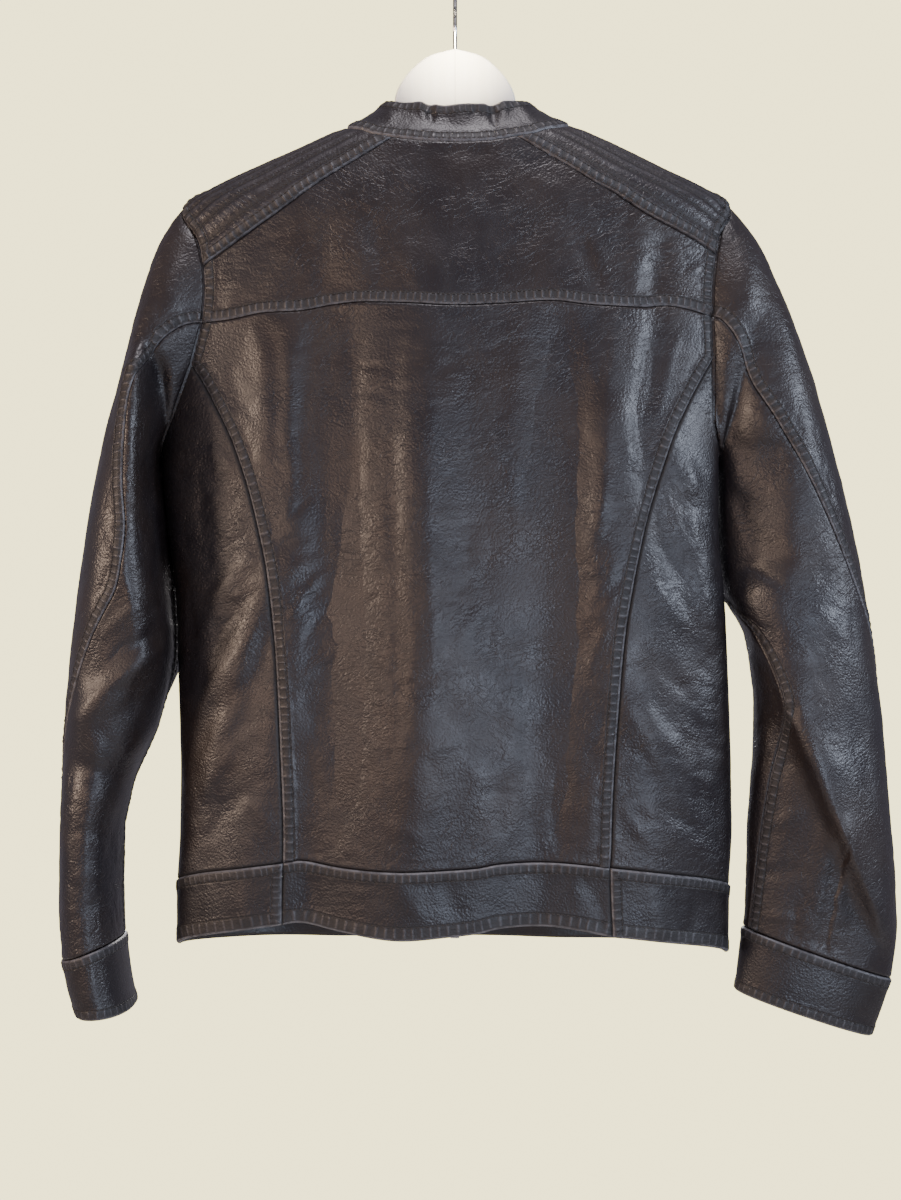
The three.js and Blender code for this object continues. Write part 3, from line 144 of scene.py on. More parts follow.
# outX, outZ, inX, inZ, back, front
cuffRows = {
    "left": [
        (-318, -799, -270, -782, 50, 48), (-313, -822, -266, -812, 50, 48),
        (-306, -844, -261, -840, 49, 47),
    ],
    "right": [
        (355, -817, 234.5, -775, 26, 25), (347, -841, 231, -801, 26, 25),
        (338, -864, 228, -827, 25, 24),
    ],
}
seams = {
    "left": {
        "ridge": 0,
        "neckZ": -124.5, "tipZ": -188, "underarmZ": -391,
        "neckBackCorner": (-50, -142), "neckFrontCorner": (-64, -146),
        "neckBackHalf": [(-66, -138), (-78, -132)],
        "neckFrontHalf": [(-78, -132)],
        "neckFront": [(-46, -161), (-26, -171)],
        "shoulderBack": [(-92, -168), (-132, -195), (-172, -222)],
        "shoulderFront": [(-108, -168), (-158, -200)],
        "armBackCorner": (-202, -242), "armFrontCorner": (-203, -229),
        "armBackShoulder": [(-211, -214)],
        "armFrontShoulder": [(-212, -208)],
        "yokeEnd": (-203, -288), "armYoke": [(-201, -263)],
        "princessTop": (-212, -321),
        "armSide": [(-222, -346), (-232, -368)],
        "armFront": [(-199, -262), (-201, -300), (-212, -340), (-229, -372)],
        "princess": [
            (-202, -336), (-190, -358), (-177, -385), (-166, -416),
            (-157, -450), (-150, -482), (-145, -520), (-141, -570),
            (-138, -630), (-136, -680),
        ],
        "hemSideZ": -738, "bottomSideZ": -790,
    },
    "right": {
        "ridge": math.pi,
        "neckZ": -122, "tipZ": -188, "underarmZ": -393,
        "neckBackCorner": (49, -141), "neckFrontCorner": (64, -146),
        "neckBackHalf": [(62, -138.5), (78, -132)],
        "neckFrontHalf": [(79, -132)],
        "neckFront": [(46, -161), (26, -171)],
        "shoulderBack": [(84, -162), (118, -182), (158, -205)],
        "shoulderFront": [(108, -168), (160, -198)],
        "armBackCorner": (210, -232), "armFrontCorner": (206, -227),
        "armBackShoulder": [(216, -210)],
        "armFrontShoulder": [(215, -207)],
        "yokeEnd": (206, -283), "armYoke": [(207, -257)],
        "princessTop": (207, -316),
        "armSide": [(207, -345), (208.5, -370)],
        "armFront": [(203, -262), (199, -300), (198, -340), (204, -372)],
        "princess": [
            (197, -333), (186, -353), (174, -378), (164, -405),
            (154, -437), (146, -468), (139, -503), (133, -542),
            (128, -600), (124, -665),
        ],
        "hemSideZ": -742, "bottomSideZ": -797,
    },
}
neckBack = [(-24, -145.5), (-1, -146.5), (25, -145.5)]
yokeSeam = [
    (-178, -286), (-154, -282), (-123, -281), (-99, -277),
    (-75, -275), (-40, -276), (-2, -278), (35, -276.5),
    (75, -274), (107, -277), (146, -278), (172, -276),
]
hemCorners = {
    "leftPrincess": (-136, -718), "rightPrincess": (122, -721),
    "leftFront": (-frontEdge, -747), "rightFront": (frontEdge, -747),
}
bottomCorners = {
    "leftPrincess": (-137, -767), "rightPrincess": (124, -776),
    "leftFront": (-frontEdge, -794), "rightFront": (frontEdge, -794),
}
hemCentre = [
    (-121, -716), (-91, -720.5), (-44, -723), (12, -721),
    (38, -717.5), (80, -717),
]
bottomCentre = [
    (-121, -765.5), (-91, -771), (-44, -777), (12, -773),
    (38, -768.5), (80, -768),
]

# creases: from x, z to x, z, half width, height or depth, bow
yokeCreases = [
    (87, -207, 113, -274, 7, -1.6, 3), (101, -199, 124, -274, 9, 1.1, 2),
    (146, -191, 139, -274, 10, 1.5, 3), (165, -215, 157, -275, 9, -2, -2),
    (185, -250, 202, -244, 4, 0.6, 1), (-75, -195, -58, -267, 8, -1.4, 4),
    (-42, -222, -25, -267, 8, 1, -2), (-122, -207, -152, -274, 9, 1.2, 4),
    (-99, -207, -108, -274, 8, -1.1, -2), (-170, -248, -181, -278, 7, 0.9, 1),
    (27, -245, 59, -223, 3, -0.6, 2), (45, -244, 73, -226, 3, 0.5, 1),
    (111, -212, 146, -204, 3, 0.5, 2), (83, -234, 122, -215, 3, -0.5, -2),
    (-28, -155, 35, -157, 6, -0.7, 3), (-47, -178, 12, -187, 5, 0.5, -4),
    (51, -171, 106, -207, 8, 0.8, 3), (-162, -230, -122, -220, 4, -0.5, 2),
    (130, -234, 193, -215, 4, -0.6, -3), (-91, -234, -43, -244, 4, 0.4, 2),
]
backCreases = [
    (-159, -288, -152, -408, 9, 1.8, 4), (-137, -289, -130, -431, 8, 1.2, 3),
    (-114, -288, -122, -447, 11, -2.4, -4), (-92, -293, -99, -510, 10, 1.4, 5),
    (-66, -289, -69, -447, 9, 0.9, -4), (-37, -288, -40, -542, 9, 1.6, 3),
    (-50, -368, -45, -636, 8, -1.5, 4), (-20, -297, -15, -589, 9, 1.3, -4),
    (12, -297, 5, -542, 18, -1.2, 5), (76, -297, 83, -478, 8, -1.3, -3),
    (102, -289, 108, -510, 10, 1.8, 4), (124, -297, 117, -463, 7, 1.2, -3),
    (157, -291, 146, -431, 9, -2.6, -5), (180, -297, 161, -376, 6, 1.2, -4),
    (-132, -449, -112, -426, 3, -0.9, 2), (-141, -475, -114, -460, 4, -1.1, 3),
    (-143, -494, -99, -478, 5, 0.9, 3), (-133, -526, -92, -483, 5, 1.1, 4),
    (-130, -510, -95, -502, 3, -0.7, -2), (-122, -549, -81, -507, 5, -1, 4),
    (-125, -581, -83, -542, 6, 0.9, 3), (-74, -330, -56, -326, 3, -0.7, 1),
    (-77, -354, -53, -346, 3, -0.6, 2), (-73, -515, -55, -506, 3, -0.8, 2),
    (-15, -515, 2, -509, 3, -0.7, 1), (-20, -337, 12, -322, 4, -0.6, 2),
    (20, -313, 67, -307, 4, -0.5, 3), (51, -330, 98, -315, 3, -0.5, 3),
    (-47, -581, -4, -567, 4, -0.6, 3), (-36, -636, 12, -622, 5, 0.6, 3),
    (-99, -630, -66, -644, 5, -0.7, -3), (-122, -612, -99, -668, 8, 1, 4),
    (-83, -589, -87, -707, 12, -1.3, 5), (0, -549, 35, -510, 6, 0.6, 3),
    (35, -526, 83, -478, 7, 0.6, -4), (94, -478, 122, -408, 7, 0.9, -4),
    (106, -518, 131, -478, 5, -0.8, -3), (102, -573, 124, -526, 6, 0.9, 3),
    (110, -644, 105, -716, 9, 1.6, 2), (87, -636, 83, -715, 9, -1.4, -3),
    (67, -589, 73, -715, 12, 1, 3), (119, -589, 106, -636, 5, -0.8, 3),
    (-177, -321, -162, -368, 6, -0.9, -3), (-167, -368, -152, -447, 5, -0.8, -3),
    (12, -668, 51, -660, 5, -0.6, 3), (-59, -683, -12, -695, 6, 0.7, -3),
]
sideCreases = [
    (-204, -415, -168, -433, 7, -1, 3), (-201, -435, -170, -423, 5, 0.7, 2),
    (-197, -384, -173, -408, 6, 0.9, -3), (-209, -408, -197, -494, 9, -1.2, 3),
    (-206, -542, -157, -472, 9, 1.8, 4), (-204, -564, -152, -498, 7, -1.6, 4),
    (-207, -605, -152, -532, 8, 1.6, 4), (-211, -636, -157, -565, 8, -1.4, 3),
    (-209, -677, -152, -605, 8, 1.4, 3), (-204, -707, -146, -646, 8, -1.2, 4),
    (-190, -478, -162, -456, 4, -0.7, 2), (-185, -510, -155, -502, 4, 0.7, 2),
    (-201, -510, -177, -478, 5, -0.8, 2), (-170, -668, -141, -699, 6, 0.8, 3),
    (-212, -510, -214, -589, 7, -1.4, 1), (171, -408, 198, -447, 7, -1.8, -4),
    (185, -396, 205, -435, 6, 1.5, -3), (161, -417, 193, -478, 6, 1.3, -4),
    (153, -447, 198, -510, 7, -1.4, -4), (152, -490, 193, -542, 7, 1.2, -3),
    (147, -542, 193, -589, 7, -1.2, -4), (146, -581, 205, -668, 8, 1.9, -5),
    (147, -622, 198, -701, 8, -1.6, -4), (146, -660, 193, -721, 8, 1.3, -4),
    (193, -478, 205, -542, 6, 1, -2), (185, -589, 209, -636, 6, -1.1, -2),
    (157, -668, 209, -707, 6, -0.8, 2), (131, -668, 161, -707, 6, 0.9, -3),
    (165, -510, 185, -498, 3, -0.6, 1), (174, -581, 193, -573, 3, -0.5, 1),
]
frontCreases = [
    (-215, -283, -189, -409, 9, 1.4, 4), (-194, -358, -164, -510, 10, -1.5, 4),
    (-173, -299, -162, -443, 9, 1.2, -3), (-130, -274, -137, -476, 12, -1.6, 4),
    (-97, -308, -88, -544, 12, 1.5, 5), (-63, -257, -60, -443, 10, -1.1, -3),
    (-38, -384, -43, -645, 12, 1.3, 4), (-23, -544, -16, -721, 8, -0.9, 2),
    (13, -426, 9, -678, 9, 1, -3), (38, -274, 48, -476, 12, -1.3, 4),
    (76, -308, 78, -594, 12, 1.5, -4), (114, -283, 122, -510, 10, -1.5, 4),
    (156, -283, 147, -443, 9, 1.2, -3), (179, -358, 164, -510, 9, -1.3, 3),
    (206, -325, 198, -476, 8, 1.2, 2), (-223, -527, -173, -476, 8, 1.3, 4),
    (-221, -594, -162, -527, 8, -1.4, 4), (-215, -662, -147, -586, 9, 1.2, 3),
    (156, -527, 213, -594, 8, 1.3, -4), (149, -594, 215, -670, 8, -1.4, -4),
    (122, -544, 89, -678, 12, 1.1, 4), (-130, -544, -97, -695, 12, -1.2, 3),
    (-80, -695, -29, -678, 6, -0.6, 3), (21, -645, 72, -662, 6, 0.6, 3),
]
sleeveCreases = {
    "left": [
        (-235, -527, -274, -562, 5, -1.8, 3), (-233, -542, -271, -581, 5, 1.4, 4),
        (-241, -512, -278, -542, 6, 1.3, -3), (-230, -519, -249, -510, 4, -1, 1),
        (-238, -557, -265, -608, 6, -1.3, 4), (-244, -581, -282, -594, 6, 0.9, 3),
        (-293, -542, -284, -589, 7, -0.9, 2), (-298, -605, -265, -636, 8, -1, 4),
        (-303, -652, -268, -678, 8, 1, 3), (-301, -692, -271, -701, 7, -0.9, 3),
        (-303, -731, -271, -723, 6, 0.9, 2), (-298, -759, -271, -747, 5, -0.8, 2),
        (-271, -605, -278, -747, 8, -1.2, 2), (-287, -589, -292, -716, 8, 1, 2),
        (-221, -233, -227, -297, 9, 1.2, -3), (-233, -233, -249, -297, 9, -0.9, -3),
        (-241, -352, -244, -478, 5, -0.8, 2), (-255, -407, -271, -478, 7, 0.7, 3),
        (-267, -478, -284, -510, 6, -0.8, 2), (-281, -510, -292, -542, 5, 0.6, 1),
    ],
    "right": [
        (311, -696, 297, -806, 2, -1.2, 0), (315, -700, 301, -806, 3, 0.7, 0),
        (228, -271, 236, -335, 8, -1.2, 2), (259, -255, 274, -335, 10, 1.2, 3),
        (217, -407, 249, -469, 7, -1.1, -4), (214, -375, 243, -430, 7, 1, -4),
        (227, -478, 267, -507, 6, -1.1, 3), (219, -502, 251, -542, 7, 1.1, -3),
        (244, -446, 284, -483, 7, 0.8, 3), (249, -542, 298, -582, 8, -0.9, 4),
        (267, -510, 314, -542, 9, 0.9, 4), (274, -478, 311, -494, 6, -0.7, 2),
        (239, -542, 274, -606, 6, -1.4, -2), (274, -606, 314, -669, 9, 1.1, 4),
        (311, -590, 330, -669, 9, -1, 3), (251, -653, 274, -637, 5, -0.7, 2),
        (246, -693, 284, -679, 6, 0.8, 2), (239, -733, 284, -727, 6, -0.9, 2),
        (243, -763, 284, -769, 5, 0.8, 2), (305, -698, 290, -797, 6, -1.6, 2),
        (316, -693, 311, -789, 7, 1.3, -2), (327, -717, 338, -789, 6, -0.9, -2),
        (274, -749, 267, -797, 6, -0.8, 1), (255, -590, 252, -637, 5, 0.8, 1),
    ],
}


def smooth(t):
    t = np.clip(t, 0, 1)
    return t * t * (3 - 2 * t)


def signedPower(value, power):
    return np.sign(value) * np.abs(value) ** power


def unit(vectors):
    length = np.linalg.norm(vectors, axis=-1, keepdims=True)
    return vectors / np.where(length < 1e-9, 1, length)


def dot(a, b):
    return (a * b).sum(-1)


# a table's column read on a smooth curve that never overshoots its rows
def readRows(rows, column, at, key=0):
    xs, ys = rows[:, key], rows[:, column]
    if xs[0] > xs[-1]:
        xs, ys = xs[::-1], ys[::-1]
    at = np.clip(at, xs[0], xs[-1])
    i = np.clip(np.searchsorted(xs, at, side="right") - 1, 0, len(xs) - 2)
    span = np.diff(xs)
    slope = np.diff(ys) / span
    before, after = slope[:-1], slope[1:]
    same = before * after > 0
    tangent = np.concatenate([slope[:1], np.zeros(len(xs) - 2), slope[-1:]])
    tangent[1:-1][same] = (2 * before * after)[same] / (before + after)[same]
    t = (at - xs[i]) / span[i]
    return ((2 * t**3 - 3 * t**2 + 1) * ys[i] + (t**3 - 2 * t**2 + t) * span[i] * tangent[i]
            + (3 * t**2 - 2 * t**3) * ys[i + 1] + (t**3 - t**2) * span[i] * tangent[i + 1])


noiseGrid = np.random.default_rng(7).random((32, 32, 32))


# smooth noise from -1 to 1, at a size in mm
def softNoise(points, size, shift=0.0):
    p = np.asarray(points, float) / size + shift
    i = np.floor(p).astype(int)
    f = smooth(p - i)
    total = 0
    for corner in range(8):
        o = np.array([corner & 1, corner >> 1 & 1, corner >> 2 & 1])
        q = (i + o) % 32
        total = total + np.prod(np.where(o, f, 1 - f), axis=-1) * noiseGrid[q[..., 0], q[..., 1], q[..., 2]]
    return total * 2 - 1


# the body's surface: angle 0 at the left side, pi/2 at the centre back

def foldHeight(folds, x, z):
    height = 0
    for topX, topZ, lowX, lowZ, wide, atTop, atLow in folds:
        t = (topZ - z) / (topZ - lowZ)
        past = np.maximum(0, np.maximum(z - topZ, lowZ - z))
        across = (x - (topX + (lowX - topX) * t)) / wide
        strength = (atTop + (atLow - atTop) * np.clip(t, 0, 1)) * smooth(1 - past / foldFade)
        height = height + strength * np.exp(-across * across)
    return height


def bodyPoint(angle, z):
    left, right, leftY, rightY = (readRows(bodyRows, k, z) for k in (1, 2, 5, 6))
    cos, sin = np.cos(angle), np.sin(angle)
    isBack = sin >= 0
    depth = np.where(isBack, readRows(bodyRows, 3, z), readRows(bodyRows, 4, z))
    x = np.where(cos > 0, left, right) * np.abs(cos) ** (2 / widthPower)
    sideY = (leftY + rightY) / 2 + (leftY - rightY) / 2 * cos
    y = sideY - depth * signedPower(sin, 2 / readRows(bodyRows, 7, z))
    behind = foldHeight(backFolds, x, z) + foldHeight(sideFolds, x, z)
    folds = np.where(isBack, behind, foldHeight(frontFolds, x, z))
    return np.stack([x, y - folds * sin, z + 0 * x], axis=-1)


def bodyNormal(angle, z):
    across = bodyPoint(angle + 0.004, z) - bodyPoint(angle - 0.004, z)
    up = bodyPoint(angle, z + 0.6) - bodyPoint(angle, z - 0.6)
    return unit(np.cross(across, up))


# a point of the seam plan, as angle * angleScale and z
def onBody(point, face="back"):
    x, z = point
    edge = readRows(bodyRows, 1 if x < 0 else 2, np.array(float(z)))
    cos = min(1, x / float(edge)) ** (widthPower / 2)
    angle = math.acos(cos if x < 0 else -cos)
    if face == "front":
        angle = -angle if x < 0 else 2 * math.pi - angle
    return angle * angleScale, z


def onFront(point):
    return onBody(point, "front")


# seams: each run is a function from a share of its length to its points

def splineAt(points, t):
    last = len(points) - 1
    p = np.asarray(t, float) * last
    i = np.clip(np.floor(p).astype(int), 0, last - 1)
    w = (p - i)[..., None]
    a, b, c, d = (points[np.clip(i + k, 0, last)] for k in (-1, 0, 1, 2))
    v0, v1 = (c - a) * 0.5, (d - b) * 0.5
    return (2 * b - 2 * c + v0 + v1) * w**3 + (-3 * b + 3 * c - 2 * v0 - v1) * w**2 + v0 * w + b


# the length walked at each of a row of points
def walked(points):
    steps = np.linalg.norm(np.diff(points, axis=0), axis=1)
    return np.concatenate([[0], np.cumsum(steps)])


def readAlong(at, lengths, values):
    return np.stack([np.interp(at, lengths, values[:, c]) for c in range(3)], axis=-1)


def spline(*points):
    points = np.array(points, float)
    t = np.linspace(0, 1, 201)
    lengths = walked(splineAt(points, t))
    return lambda share: splineAt(points, np.interp(np.asarray(share) * lengths[-1], lengths, t))


def straight(a, b):
    a, b = np.array(a, float), np.array(b, float)
    return lambda share: a + (b - a) * np.asarray(share, float)[..., None]


def backwards(run):
    return lambda share: run(1 - np.asarray(share, float))


# runs joined end to end, each with its part of the whole
def chain(*runs):
    weights = np.array([weight for _, weight in runs], float)
    ends = np.concatenate([[0], np.cumsum(weights) / weights.sum()])

    def at(share):
        share = np.asarray(share, float)
        k = np.clip(np.searchsorted(ends, share, side="right") - 1, 0, len(runs) - 1)
        out = np.zeros(share.shape + (2,))
        for n, (run, _) in enumerate(runs):
            mine = k == n
            out[mine] = run(np.clip((share[mine] - ends[n]) / (ends[n + 1] - ends[n]), 0, 1))
        return out
    return at


def sideRuns(side):
    s = seams[side]
    sign = -1 if side == "left" else 1

    def ridge(z):
        return s["ridge"] * angleScale, z

    def run(start, middle, end, face=onBody):
        between = s[middle] if middle else ()
        return spline(face(start), *map(face, between), face(end))

    def toRidge(start, middle, z):
        return spline(onBody(s[start]), *map(onBody, s[middle]), ridge(s[z]))

    def fromRidge(z, middle, end):
        return spline(ridge(s[z]), *map(onFront, middle), onFront(s[end]))

    hem, bottom = hemCorners[side + "Princess"], bottomCorners[side + "Princess"]
    hemFront, bottomFront = hemCorners[side + "Front"], bottomCorners[side + "Front"]
    frontTop = (sign * frontEdge, neckFrontZ)
    neckBackHalf = toRidge("neckBackCorner", "neckBackHalf", "neckZ")
    neckFrontHalf = fromRidge("neckZ", s["neckFrontHalf"], "neckFrontCorner")
    armBackHalf = toRidge("armBackCorner", "armBackShoulder", "tipZ")
    armFrontHalf = fromRidge("tipZ", s["armFrontShoulder"], "armFrontCorner")
    return {
        "neckBackHalf": neckBackHalf, "neckFrontHalf": neckFrontHalf,
        "armBackHalf": armBackHalf, "armFrontHalf": armFrontHalf,
        "neckShoulder": chain((neckBackHalf, 1), (neckFrontHalf, 1)),
        "armShoulder": chain((armBackHalf, 1), (armFrontHalf, 1)),
        "neckFront": run(s["neckFrontCorner"], "neckFront", frontTop, onFront),
        "shoulderBack": run(s["neckBackCorner"], "shoulderBack", s["armBackCorner"]),
        "shoulderFront": run(s["neckFrontCorner"], "shoulderFront", s["armFrontCorner"], onFront),
        "armYoke": run(s["armBackCorner"], "armYoke", s["yokeEnd"]),
        "armCentre": run(s["yokeEnd"], "", s["princessTop"]),
        "armSide": toRidge("princessTop", "armSide", "underarmZ"),
        "armFront": fromRidge("underarmZ", s["armFront"][::-1], "armFrontCorner"),
        "princess": run(s["princessTop"], "princess", hem),
        "sideSeam": straight(ridge(s["underarmZ"]), ridge(s["hemSideZ"])),
        "bandSide": straight(ridge(s["hemSideZ"]), ridge(s["bottomSideZ"])),
        "bandPrincess": straight(onBody(hem), onBody(bottom)),
        "hemSide": spline(onBody(hem), ridge(s["hemSideZ"])),
        "bottomSide": spline(onBody(bottom), ridge(s["bottomSideZ"])),
        "hemFront": spline(ridge(s["hemSideZ"]), onFront(hemFront)),
        "bottomFront": spline(ridge(s["bottomSideZ"]), onFront(bottomFront)),
        "bandCentre": straight(onFront(hemFront), onFront(bottomFront)),
        "centreFront": straight(onFront(frontTop), onFront(hemFront)),
    }


left, right = sideRuns("left"), sideRuns("right")
runs = {"left": left, "right": right}


def acrossRun(start, middle, end):
    return spline(onBody(start), *map(onBody, middle), onBody(end))


neckBackRun = acrossRun(seams["left"]["neckBackCorner"], neckBack, seams["right"]["neckBackCorner"])
yokeRun = acrossRun(seams["left"]["yokeEnd"], yokeSeam, seams["right"]["yokeEnd"])
hemRun = acrossRun(hemCorners["leftPrincess"], hemCentre, hemCorners["rightPrincess"])
bottomRun = acrossRun(bottomCorners["leftPrincess"], bottomCentre, bottomCorners["rightPrincess"])


# rows of seam plan between four runs
def patch(bottom, top, leftRun, rightRun, u, v):
    b, t, l, r = bottom(u), top(u), leftRun(v)[:, None], rightRun(v)[:, None]
    across, up = u[None, :, None], v[:, None, None]
    low = (1 - across) * b[0] + across * b[-1]
    high = (1 - across) * t[0] + across * t[-1]
    plan = (1 - up) * b + up * t + (1 - across) * l + across * r - (1 - up) * low - up * high
    return plan[..., 0] / angleScale, plan[..., 1]


# shares of a length, crowded towards both ends, with a count the hidden face can divide
def stations(length, size=cell):
    near = edgeSteps[edgeSteps < length * 0.35]
    count = max(4, math.ceil((length - 2 * near[-1]) / size))
    count += -(2 * (len(near) - 1) + count) % innerStep
    middle = np.linspace(near[-1], length - near[-1], count + 1)
    return np.concatenate([near[:-1], middle, (length - near[:-1])[::-1]]) / length


# how an edge of leather looks at each kind of seam
# roll: how deep it turns in at the edge. fold: rise of the doubled allowance. rows: stitch
# rows from the edge. rung: height of the puckers between stitches. spread: how far they reach.

edgeStyles = {
    "lapped": {"roll": 1.5, "fold": 0.8, "rows": (1.9, 8.2), "rung": 0.42, "pitch": 6.8, "spread": 15},
    "single": {"roll": 1.3, "fold": 0.6, "rows": (8.0,), "rung": 0.34, "pitch": 6.0, "spread": 14},
    "hemmed": {"roll": 1.4, "fold": 0.5, "rows": (10.5,), "rung": 0.12, "pitch": 7.4, "spread": 15},
    "tucked": {"roll": 1.1, "fold": 0.0, "rows": (), "rung": 0.13, "pitch": 6.8, "spread": 9},
    "plain": {"roll": 0.6, "fold": 0.0, "rows": (), "rung": 0.0, "pitch": 6.8, "spread": 6},
}
stitchGroove = {"depth": 0.5, "width": 0.8}
stitchRuns = {}


# distance along an edge, with the uneven spacing that the puckers keep to
def seamWay(s, seed):
    way = np.stack([s, 0 * s + seed * 17.3, 0 * s], axis=-1)
    return s + 2.4 * softNoise(way, 21) + 1.1 * softNoise(way, 9, 3.7)


def seamHeight(style, d, way, seed):
    p = edgeStyles[style]
    last = max(p["rows"], default=5)
    height = -p["roll"] * np.exp(-(d / 0.9) ** 2) + p["fold"] * (1 - smooth((d - last) / 2.6))
    for row in p["rows"]:
        height = height - stitchGroove["depth"] * np.exp(-((d - row) / stitchGroove["width"]) ** 2)
    uneven = np.stack([way, 0 * way + seed * 5.1, 0 * way], axis=-1)
    strength = 0.75 + 0.5 * softNoise(uneven, 16, 1.3)
    rungs = np.sin(2 * math.pi * way / p["pitch"])
    near = smooth(d / 0.8) * smooth((last + 1.2 - d) / 1.2)
    beyond = smooth((d - last + 1.5) / 2) * np.clip(1 - (d - last) / (p["spread"] - last), 0, 1) ** 2
    drag = np.sin(2 * math.pi * way / (p["pitch"] * 2.3) + 2 * strength)
    return height + p["rung"] * strength * (rungs * near + 0.9 * drag * beyond)


def creaseHeight(creases, points):
    warp = 3.2 * softNoise(points, 26, 9.1) + 1.2 * softNoise(points, 9, 2.2)
    x, z = points[..., 0], points[..., 2]
    height = 0
    for x0, z0, x1, z1, wide, rise, bow in creases:
        length = math.hypot(x1 - x0, z1 - z0)
        ux, uz = (x1 - x0) / length, (z1 - z0) / length
        t = ((x - x0) * ux + (z - z0) * uz) / length
        fade = np.sin(math.pi * np.clip(t, 0, 1)) ** 0.8
        beside = (z - z0) * ux - (x - x0) * uz - bow * 4 * t * (1 - t) + warp
        height = height + rise * fade * np.exp(-(beside / (wide * (0.45 + 0.55 * fade))) ** 2)
    return height


# the uneven surface of hanging leather: three sizes, and the height of each
swelling = {"broad": (34, 0.75), "middle": (13, 0.28), "creased": (8.5, 0.42), "patches": 46}


def leatherSwell(points, amount=1.0):
    (wide, rise), (less, bulge), (fine, sink) = (swelling[k] for k in ("broad", "middle", "creased"))
    broad = softNoise(points * [1, 1, 0.45], wide) * rise
    middle = softNoise(points * [1, 1, 0.8], less, 4.4) * bulge
    patchy = smooth(softNoise(points, swelling["patches"], 6.6) * 0.9 + 0.45)
    creased = (1 - np.abs(softNoise(points * [0.55, 1, 1.25], fine, 8.8))) ** 4 * sink
    return amount * (broad + middle - creased * patchy)


# meshes

scene = bpy.context.scene


# the node that a piece stands for has the same name, in the other spelling
def nodeOf(name):
    return "".join("_" + letter.lower() if letter.isupper() else letter for letter in name)


def placed(name, data):
    obj = bpy.data.objects.new(name, data)
    scene.collection.objects.link(obj)
    return obj


def settle(obj, slotName, body="jacket"):
    obj.data.materials.clear()
    obj.data.materials.append(slotMaterials[slotName])
    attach(obj, body)
    return obj


def gridFaces(rows, columns, ring):
    j, i = np.meshgrid(np.arange(rows - 1), np.arange(columns if ring else columns - 1), indexing="ij")
    n = (i + 1) % columns
    corners = [j * columns + i, j * columns + n, (j + 1) * columns + n, (j + 1) * columns + i]
    return np.stack(corners, -1).reshape(-1, 4)


def wallFaces(rows, columns, innerRows, innerColumns, ring):
    step = innerStep
    start = rows * columns
    innerAround = innerColumns if ring else innerColumns - 1
    outerFaces = gridFaces(rows, columns, ring).tolist()
    innerFaces = (gridFaces(innerRows, innerColumns, ring)[:, [0, 3, 2, 1]] + start).tolist()
    rim = []

    def sew(outerAt, innerAt, count, flip):
        for k in range(count):
            c0, c1 = innerAt(k), innerAt(k + 1)
            f = [outerAt(k * step + m) for m in range(step + 1)]
            half = step // 2
            made = [(f[m + 1], f[m], c0) for m in range(half)] + [(f[half], c0, c1)]
            made += [(f[m + 1], f[m], c1) for m in range(half, step)]
            rim.extend(tuple(reversed(t)) if flip else t for t in made)

    sew(lambda m: m % columns, lambda k: start + k % innerColumns, innerAround, False)
    top, innerTop = (rows - 1) * columns, start + (innerRows - 1) * innerColumns
    sew(lambda m: top + m % columns, lambda k: innerTop + k % innerColumns, innerAround, True)
    if not ring:
        sew(lambda m: m * columns, lambda k: start + k * innerColumns, innerRows - 1, True)
        sew(lambda m: m * columns + columns - 1, lambda k: start + k * innerColumns + innerColumns - 1,
            innerRows - 1, False)
    return outerFaces + innerFaces + rim


# a closed wall of leather from its outer net and a coarser inner one
def wallObject(name, outer, inner, slotName, seamUv, wear, ring=False):
    rows, columns = outer.shape[:2]
    faces = wallFaces(rows, columns, inner.shape[0], inner.shape[1], ring)
    points = np.concatenate([outer.reshape(-1, 3), inner.reshape(-1, 3)]) * mm
    mesh = bpy.data.meshes.new(name)
    mesh.from_pydata(points.tolist(), [], faces)
    cornerVert = np.empty(len(mesh.loops), int)
    mesh.loops.foreach_get("vertex_index", cornerVert)
    uv = np.full((len(points), 2), 1.0)
    uv[:rows * columns] = seamUv.reshape(-1, 2) * mm
    layer = mesh.uv_layers.new(name="seam")
    layer.data.foreach_set("uv", uv[cornerVert].ravel())
    # the mark of wear and painted light (painted highlights positive, painted shade negative) that the
    # leather's colour reads
    values = np.zeros(len(points))
    values[:rows * columns] = wear.ravel()
    mesh.attributes.new("wear", "FLOAT", "POINT").data.foreach_set("value", values.astype(np.float32))
    mesh.validate()
    turnOutwards(mesh)
    mesh.shade_smooth()
    obj = settle(placed(name, mesh), slotName)
    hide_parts(nodeOf(name))
    declareSheet(obj, outer, ring)


def turnOutwards(mesh):
    bm = bmesh.new()
    bm.from_mesh(mesh)
    if bm.calc_volume(signed=True) < 0:
        bmesh.ops.reverse_faces(bm, faces=bm.faces)
        bm.to_mesh(mesh)
    bm.free()


# the flat cut of a piece: its widest and longest way over the surface, and its area
def declareSheet(obj, net, ring):
    coarse = net[fewer]
    if ring:
        coarse = np.concatenate([coarse, coarse[:, :1]], axis=1)
    across = np.linalg.norm(np.diff(coarse, axis=1), axis=2).sum(1).max() * mm
    down = np.linalg.norm(np.diff(coarse, axis=0), axis=2).sum(0).max() * mm
    sides = [coarse[1:, 1:] - coarse[:-1, :-1], coarse[:-1, 1:] - coarse[1:, :-1]]
    area = np.linalg.norm(np.cross(*sides), axis=2).sum() / 2 * mm * mm
    flat = (round(max(across, area / down), 3), round(down, 3))
    area = round(min(area, flat[0] * flat[1]), 4)
    flatCuts.append(f"{obj.name} {flat[0]:.3f} x {flat[1]:.3f} m, {area:.4f} m2")


flatCuts = []


# each edge of a net: its axis, its index and that of the next line in
netEdges = {"bottom": (0, 0, 1), "top": (0, -1, -2), "left": (1, 0, 1), "right": (1, -1, -2)}


